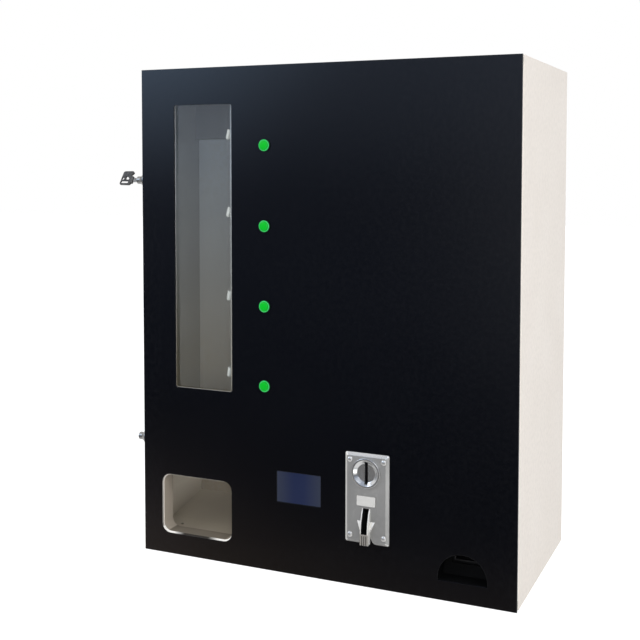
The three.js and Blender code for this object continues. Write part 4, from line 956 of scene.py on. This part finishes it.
# %% Moulded and cast parts
RETURN_HALF_WIDTH = 13.7
RETURN_HALF_HEIGHT = 7
RETURN_UP = COIN_UP - 2.6
POCKET_GAP = 0.3
POCKET_BACK = 8.3
MOULDED = {
    "coin_faceplate": 0.3, "coin_return_button": 0.4, "coin_mech": 0.15, "change_cup": 0.3,
    "change_hopper": 0.5, "power_inlet": 0.3, "power_supply": 0.3, "control_board": 0.15,
    "display_module": 0.2, "key_blade": 0.12,
}
MOULDED_COAT = {
    "change_cup": CUP_BLACK,
    "coin_return_button": RETURN_WHITE,
    "key_blade": LOCK_NICKEL,
}
for part, coat in (("cam", None), ("plug", LOCK_NICKEL), ("body", LOCK_NICKEL)):
    for side in ("upper", "lower"):
        node = f"lock_{part}_{side}"
        MOULDED[node] = 0.2
        MOULDED_COAT[node] = coat
for number in range(1, 5):
    MOULDED[f"gear_motor_{number}"] = 0.5
    MOULDED[f"spiral_hub_{number}"] = 0.4
    MOULDED[f"spiral_tip_{number}"] = 0.2
formed = {}
for node, width in MOULDED.items():
    coat = MOULDED_COAT.get(node) or PAINT[SLOT_OF[node]]
    formed[node] = swap(rounded(merged_copy(node, node + "_formed", coat), width), node)
pocket_reach = Vector((RETURN_HALF_WIDTH + POCKET_GAP, 0, RETURN_HALF_HEIGHT + POCKET_GAP)) * MM
pocket_low = at(COIN_ACROSS, -1, RETURN_UP) - pocket_reach
pocket_high = at(COIN_ACROSS, POCKET_BACK, RETURN_UP) + pocket_reach
carve(formed["coin_mech"], cutter(pocket_low, pocket_high))

# %% [markdown]
# The motor's can, the parts on the circuit board and the board behind the display are other
# materials than the body they sit on.

# %% Second finishes
MOTOR_CAN = (506.5, WIDTH)
RELAYS = (0, 287.5)
DISPLAY_CASE = (3.1, 8.2)
DISPLAY_BOARD = (8.2, 20)
for number in range(1, 5):
    refinish(formed[f"gear_motor_{number}"], PAINT["plain_steel"], across=MOTOR_CAN)
refinish(formed["control_board"], RELAY_BLUE, back=RELAYS)
refinish(formed["display_module"], PAINT["circuit_board"], back=DISPLAY_BOARD)
refinish(formed["display_module"], PAINT["black_plastic"], back=DISPLAY_CASE)

# %% [markdown]
# The rim of the coin unit's plate is bevelled, and its top and bottom are brighter than its
# left side; the rim and the wings are lightened as painted highlight. The nose stands out of
# the plate between two wings, round a throat that is painted black inside as painted shade,
# and ends in flutes darkened as painted shade.

# %% Painted highlight and shade on the coin plate
RIM_BACK = (-4.9, -0.1)
RIM_HALF_HEIGHT = 59.6
RIM_LEFT = (0, 335.9)
PROUD = (-20, -5.1)
NOSE_TOP = 79
WING_TOP = 112
THROAT_HALF = 4.4
THROAT_UP = (78, 113)
WING_GAP = 4.5
FLUTE_BACK = (-13.85, -13)
plate = formed["coin_faceplate"]
# The rim and the wings get painted highlight.
refinish(plate, PAINTED_HIGHLIGHT_STEEL, back=RIM_BACK, up=(COIN_UP + RIM_HALF_HEIGHT, HEIGHT))
refinish(plate, PAINTED_HIGHLIGHT_STEEL, back=RIM_BACK, up=(0, COIN_UP - RIM_HALF_HEIGHT))
refinish(plate, PAINTED_HIGHLIGHT_EDGE, back=RIM_BACK, across=RIM_LEFT)
refinish(plate, NOSE_STEEL, back=PROUD, up=(0, NOSE_TOP))
for wing in ((0, COIN_ACROSS - WING_GAP), (COIN_ACROSS + WING_GAP, WIDTH)):
    refinish(plate, PAINTED_HIGHLIGHT_EDGE, back=PROUD, up=(NOSE_TOP, WING_TOP), across=wing)
# The throat is painted black inside as painted shade.
throat = (COIN_ACROSS - THROAT_HALF, COIN_ACROSS + THROAT_HALF)
refinish(plate, PAINT["black_plastic"], across=throat, up=THROAT_UP)
# Painted shade in the flutes.
flutes = (COIN_ACROSS - 5, COIN_ACROSS + 5)
refinish(plate, FLUTE_PAINTED_SHADE, across=flutes, back=FLUTE_BACK, up=(0, THROAT_UP[0]))

# %% [markdown]
# ## Selection buttons
# Each button is a turned shape: a domed cap with a chamfered rim in a ring. A profile lists
# the radius and the place along the axis of each of its corners, in millimetres.

# %% Buttons
CAP = [
    (0, -5), (3.4, -4.95), (5.2, -4.75), (6.1, -4.4), (6.6, -3.8),
    (6.6, -1.3), (5.5, -1.3), (5.5, 5.5), (0, 5.5),
]
for number, up in enumerate(BUTTON_UP, 1):
    bm = bmesh.new()
    spin(bm, CAP, at(BUTTON_ACROSS, 0, up), BACKWARD)
    closed_up(bm)
    cap = piece_from(f"button_{number}_cap", bm, PAINT["green_cap"])
    swap(rounded(cap, 0.25), f"button_cap_{number}")
    print(cap.name, len(cap.data.polygons), "faces")

# %% [markdown]
# The housing behind each cap keeps its hexagon nut and switch block, so it is the CAD copy.
# Only its ring is spun anew, and laid just outside the copy's own.

# %% Button housings
RING = [
    (6.85, 1), (6.85, -3), (7.05, -3.3), (7.5, -3.35), (7.95, -3.1),
    (8.2, -2.72), (7.4, -0.02), (7.4, 1),
]
for number, up in enumerate(BUTTON_UP, 1):
    node = f"button_body_{number}"
    bm = bmesh.new()
    spin(bm, RING + RING[:1], at(BUTTON_ACROSS, 0, up), BACKWARD)
    closed_up(bm)
    ring = rounded(piece_from(f"button_{number}_ring", bm, PAINT["green_ring"]), 0)
    housing = rounded(merged_copy(node, f"button_{number}_housing", PAINT["black_plastic"]), 0.2)
    refinish(housing, HOUSING_GREEN, back=(-DEPTH, 0))
    swap(housing, node, slot="black_plastic")
    swap(ring, body="door", slot="green_ring")

# %% [markdown]
# ## Coin unit
# The bezel is a chrome ring with a cone that leads the coin to its slot. It is spun with a
# fine profile, then the slot is cut through it, and a wider and shallower cut round the slot
# is painted black as painted shade.

# %% Chrome bezel
BEZEL_UP = COIN_UP + 37
SLOT_HALF_HEIGHT = 15.75
SLOT_CUTS = [(1.6, 5), (2.4, -3.4)]
SLOT_FRONT = -20
BEZEL_STEPS = 96
BLACKENED_BACK = (-4.85, -0.5)
BLACKENED_HALF = 2.6
BEZEL = [
    (0, -4.9), (12.8, -4.9), (13.4, -5.1), (13.9, -5.5), (17.4, -8.2),
    (17.9, -8.7), (18.4, -8.9), (20.2, -8.9), (20.8, -8.6), (21, -8.1),
    (21, -5.3), (16.5, -5.3), (16.5, -0.3), (0, -0.3),
]
bm = bmesh.new()
spin(bm, BEZEL, at(COIN_ACROSS, 0, BEZEL_UP), BACKWARD, BEZEL_STEPS)
closed_up(bm)
bezel = piece_from("coin_bezel_turned", bm, PAINT["chrome_trim"])
for half_width, end in SLOT_CUTS:
    slot_low = at(COIN_ACROSS - half_width, SLOT_FRONT, BEZEL_UP - SLOT_HALF_HEIGHT)
    slot_high = at(COIN_ACROSS + half_width, end, BEZEL_UP + SLOT_HALF_HEIGHT)
    carve(bezel, cutter(slot_low, slot_high))
rounded(bezel, 0.15)
# The cuts round the slot are painted black as painted shade.
blackened = (COIN_ACROSS - BLACKENED_HALF, COIN_ACROSS + BLACKENED_HALF)
refinish(bezel, PAINT["black_plastic"], across=blackened, back=BLACKENED_BACK)
swap(bezel, "coin_bezel")

# %% [markdown]
# ## Key
# The key's black bow is moulded: thick where it holds the blade and thin towards its ring
# slot. The copy is thinned along its length, then the ring slot and two windows are cut
# through it, wide enough to see through from the front.

# %% Key bow
KEY_AXIS = at(0, 14, 565)
KEY_TURN = math.radians(-36)
THIN_FROM = -28
THIN_OVER = 4
THINNED_BY = 0.52
OPENINGS = [
    (-45.4, -34.2, -5.4, -2.1),
    (-45.6, -42.4, 0.8, 4.4),
    (-39.4, -35, 0.8, 6.2),
]
KEY = Matrix.Translation(KEY_AXIS) @ Matrix.Rotation(KEY_TURN, 4, "X")
bow = merged_copy("key_bow", "key_bow_moulded", KEY_BLACK)
for vert in bow.data.vertices:
    local = KEY.inverted() @ vert.co
    thinned = min(1, max(0, (THIN_FROM - local.x / MM) / THIN_OVER))
    local.y *= 1 - THINNED_BY * thinned
    vert.co = KEY @ local
for left, right, low, high in OPENINGS:
    bm = cutter(Vector((left, -5, low)) * MM, Vector((right, 5, high)) * MM)
    bmesh.ops.transform(bm, matrix=KEY, verts=bm.verts)
    carve(bow, bm)
swap(rounded(bow, 0.3), "key_bow")
print(bow.name, len(bow.data.polygons), "faces")

# %% [markdown]
# ## Spirals
# Each spiral is one steel wire in the shape of a helix, so it follows a rule and Geometry
# Nodes can draw it. The Spiral node gives the path, a circle is swept along it, and the
# tree has an input for each size. The four copies differ only in height and in how far
# they have turned.

# %% The spiral's node tree


def geometry_tree(name, sockets):
    group = bpy.data.node_groups.new(name, "GeometryNodeTree")
    group.interface.new_socket("Geometry", in_out="INPUT", socket_type="NodeSocketGeometry")
    for label, kind in sockets:
        group.interface.new_socket(label, in_out="INPUT", socket_type="NodeSocket" + kind)
    group.interface.new_socket("Geometry", in_out="OUTPUT", socket_type="NodeSocketGeometry")
    given = group.nodes.new("NodeGroupInput").outputs
    result = group.nodes.new("NodeGroupOutput").inputs["Geometry"]
    return group, given, result


def run_tree(name, group, values, points=()):
    """Runs the tree on the points and returns the plain mesh that it makes."""
    mesh = bpy.data.meshes.new(name)
    mesh.from_pydata([tuple(point) for point in points], [], [])
    thing = link(bpy.data.objects.new(name, mesh))
    modifier = thing.modifiers.new("tree", "NODES")
    modifier.node_group = group
    sockets = {s.name: s.identifier for s in group.interface.items_tree if s.in_out == "INPUT"}
    for label, value in values.items():
        modifier[sockets[label]] = value
    return settle(thing)


wire_tree, given, result = geometry_tree(
    "spiral wire",
    [
        ("Turns", "Float"), ("Pitch", "Float"), ("Coil Radius", "Float"),
        ("Wire Radius", "Float"), ("Steps per Turn", "Int"), ("Finish", "Material"),
    ],
)
path = add(
    wire_tree, "GeometryNodeCurveSpiral",
    {
        "Resolution": given["Steps per Turn"],
        "Rotations": given["Turns"],
        "Start Radius": given["Coil Radius"],
        "End Radius": given["Coil Radius"],
        "Height": maths(wire_tree, "MULTIPLY", given["Turns"], given["Pitch"]),
        "Reverse": True,
    },
).outputs[0]
section = add(
    wire_tree, "GeometryNodeCurvePrimitiveCircle",
    {"Resolution": 12, "Radius": given["Wire Radius"]}, mode="RADIUS",
).outputs[0]
swept = add(
    wire_tree, "GeometryNodeCurveToMesh",
    {"Curve": path, "Profile Curve": section, "Fill Caps": True},
).outputs[0]
swept = add(wire_tree, "GeometryNodeSetShadeSmooth", {0: swept}).outputs[0]
swept = add(wire_tree, "GeometryNodeRealizeInstances", {0: swept}).outputs[0]
inputs = {0: swept, "Material": given["Finish"]}
swept = add(wire_tree, "GeometryNodeSetMaterial", inputs).outputs[0]
wire_tree.links.new(swept, result)

# %% Four spirals
REST_TURN = [0.035, 0.035, 0, 0]
COIL_START = 128
COIL_BACK = 84
COIL_RADIUS = 44
COIL_PITCH = 41
COIL_TURNS = 8
COIL_STEPS = 40
WIRE_RADIUS = 2
END_RUN = 4
ACROSS_THE_MACHINE = Matrix(((0, 0, 1, 0), (-1, 0, 0, 0), (0, -1, 0, 0), (0, 0, 0, 1)))
for number, up in enumerate(SPIRAL_UP, 1):
    wire = run_tree(
        f"spiral_{number}_wire",
        wire_tree,
        {
            "Turns": COIL_TURNS + END_RUN / (2 * math.pi * COIL_RADIUS),
            "Pitch": COIL_PITCH * MM,
            "Coil Radius": COIL_RADIUS * MM,
            "Wire Radius": WIRE_RADIUS * MM,
            "Steps per Turn": COIL_STEPS,
            "Finish": PAINT["plain_steel"],
        },
    )
    turn = Matrix.Rotation(-2 * math.pi * REST_TURN[number - 1], 4, "X")
    place = Matrix.Translation(at(COIL_START, COIL_BACK, up))
    wire.data.transform(place @ turn @ ACROSS_THE_MACHINE)
    swap(wire, f"spiral_{number}")
    cad_low, cad_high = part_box(f"spiral_{number}")
    across = [round(corner[0], 4) for corner in (cad_low, cad_high)]
    print(wire.name, len(wire.data.polygons), "faces, across", across)

# %% [markdown]
# ## Screws
# Small fasteners repeat, so one tree sets them all. It puts a screw head on every point,
# turns it to face outwards, and gives each cross its own random turn from a fixed seed.
# The head itself is a low dome of radius 1, with or without a cross cut in it.

# %% Screw heads
HEAD_HEIGHT = 0.62
CROSS_LONG, CROSS_SHORT = 0.52, 0.11
CROSS_FLOOR = 0.28
HEAD_PROFILE = [(0, 1), (0.3, 0.97), (0.6, 0.83), (0.85, 0.55), (0.98, 0.2), (1, 0), (0, 0)]


def screw_head(crossed):
    bm = bmesh.new()
    dome = [(radius / MM, HEAD_HEIGHT * height / MM) for radius, height in HEAD_PROFILE]
    spin(bm, dome, Vector((0, 0, 0)), UPWARD, 20)
    closed_up(bm)
    head = piece_from("screw_head", bm, PAINT["plain_steel"])
    if crossed:
        for long, short in ((CROSS_LONG, CROSS_SHORT), (CROSS_SHORT, CROSS_LONG)):
            carve(head, cutter(Vector((-long, -short, CROSS_FLOOR)), Vector((long, short, 1))))
    head.data.polygons.foreach_set("use_smooth", [True] * len(head.data.polygons))
    head.data.set_sharp_from_angle(angle=math.radians(40))
    head.hide_render = True
    head.hide_viewport = True
    return head


HEAD = screw_head(True)
DOME = screw_head(False)

# %% The screws' node tree
SEED = 1
screw_tree, given, result = geometry_tree(
    "screws",
    [
        ("Head", "Object"), ("Facing", "Vector"), ("Radius", "Float"),
        ("Seed", "Int"), ("Finish", "Material"),
    ],
)
head = add(screw_tree, "GeometryNodeObjectInfo", {"Object": given["Head"]}).outputs["Geometry"]
facing = add(
    screw_tree, "FunctionNodeAlignRotationToVector",
    {"Vector": given["Facing"]}, axis="Z",
).outputs[0]
spun = add(
    screw_tree, "FunctionNodeRandomValue",
    {2: 0.0, 3: math.pi, "Seed": given["Seed"]}, data_type="FLOAT",
).outputs[1]
inputs = {"Axis": (0, 0, 1), "Angle": spun}
spun = add(screw_tree, "FunctionNodeAxisAngleToRotation", inputs).outputs[0]
turned = add(screw_tree, "FunctionNodeRotateRotation", {0: facing, 1: spun}, rotation_space="LOCAL")
placed = add(
    screw_tree, "GeometryNodeInstanceOnPoints",
    {
        "Points": given["Geometry"],
        "Instance": head,
        "Rotation": turned.outputs[0],
        "Scale": given["Radius"],
    },
).outputs[0]
placed = add(screw_tree, "GeometryNodeRealizeInstances", {0: placed}).outputs[0]
inputs = {0: placed, "Material": given["Finish"]}
placed = add(screw_tree, "GeometryNodeSetMaterial", inputs).outputs[0]
screw_tree.links.new(placed, result)


def screws(name, places, facing, radius, body="cabinet", slot="plain_steel", head=HEAD, coat=None):
    thing = run_tree(
        name,
        screw_tree,
        {
            "Head": head,
            "Facing": facing,
            "Radius": radius * MM,
            "Seed": SEED,
            "Finish": coat or PAINT[slot],
        },
        [at(*place) for place in places],
    )
    swap(thing, body=body, slot=slot)
    print(name, len(places), "screws,", len(thing.data.polygons), "faces")


# %% [markdown]
# Four plain domes hold the coin plate. Inside, screws hold the gear motors, the trays, the
# liner and the circuit board.

# %% Screws in their places
PLATE_SCREWS = [(a, b) for a in (-25, 25) for b in (-53, 53)]
PLATE_FACE = -4.9
MOTOR_FACE = 505.5
MOTOR_SCREWS = [(back, up) for back in (-17, 17) for up in (10, -44)]
TRAY_LIP = 35.4
TRAY_DROP = 35
LINER_FACE = 165.9
BOARD_FACE = 287.9
# The coin plate's domes take the steel that is lightened as painted highlight.
screws(
    "coin_plate_screws",
    [(COIN_ACROSS + 0.8 + a, PLATE_FACE, COIN_UP + 1 + b) for a, b in PLATE_SCREWS],
    -BACKWARD, 4.2, "door", "cast_plate", DOME, PAINTED_HIGHLIGHT_STEEL,
)
screws(
    "motor_screws",
    [(MOTOR_FACE, COIL_BACK + a, level + b) for level in SPIRAL_UP for a, b in MOTOR_SCREWS],
    Vector((1, 0, 0)), 2.2,
)
screws(
    "tray_screws",
    [(a, TRAY_LIP, level - TRAY_DROP) for level in SPIRAL_UP for a in (141, 149)],
    BACKWARD, 2.4,
)
screws(
    "liner_screws",
    [(a, LINER_FACE, up) for a in (12, 290, 560) for up in (40, 185)] + [(560, LINER_FACE, 610)],
    -BACKWARD, 2.6,
)
screws(
    "board_screws",
    [(a, BOARD_FACE, up) for a in (263, 397) for up in (518, 602)],
    -BACKWARD, 2.6,
)

# %% [markdown]
# ## Last look
# The pieces without a finish are listed, and the pieces and their faces counted.

# %% Finish and counts
print("Pieces without a finish:", [thing.name for thing in FINISHED if not thing.data.materials])
for head in (HEAD, DOME):
    bpy.data.objects.remove(head)
print("Pieces:", len(FINISHED), "faces:", sum(len(thing.data.polygons) for thing in FINISHED))
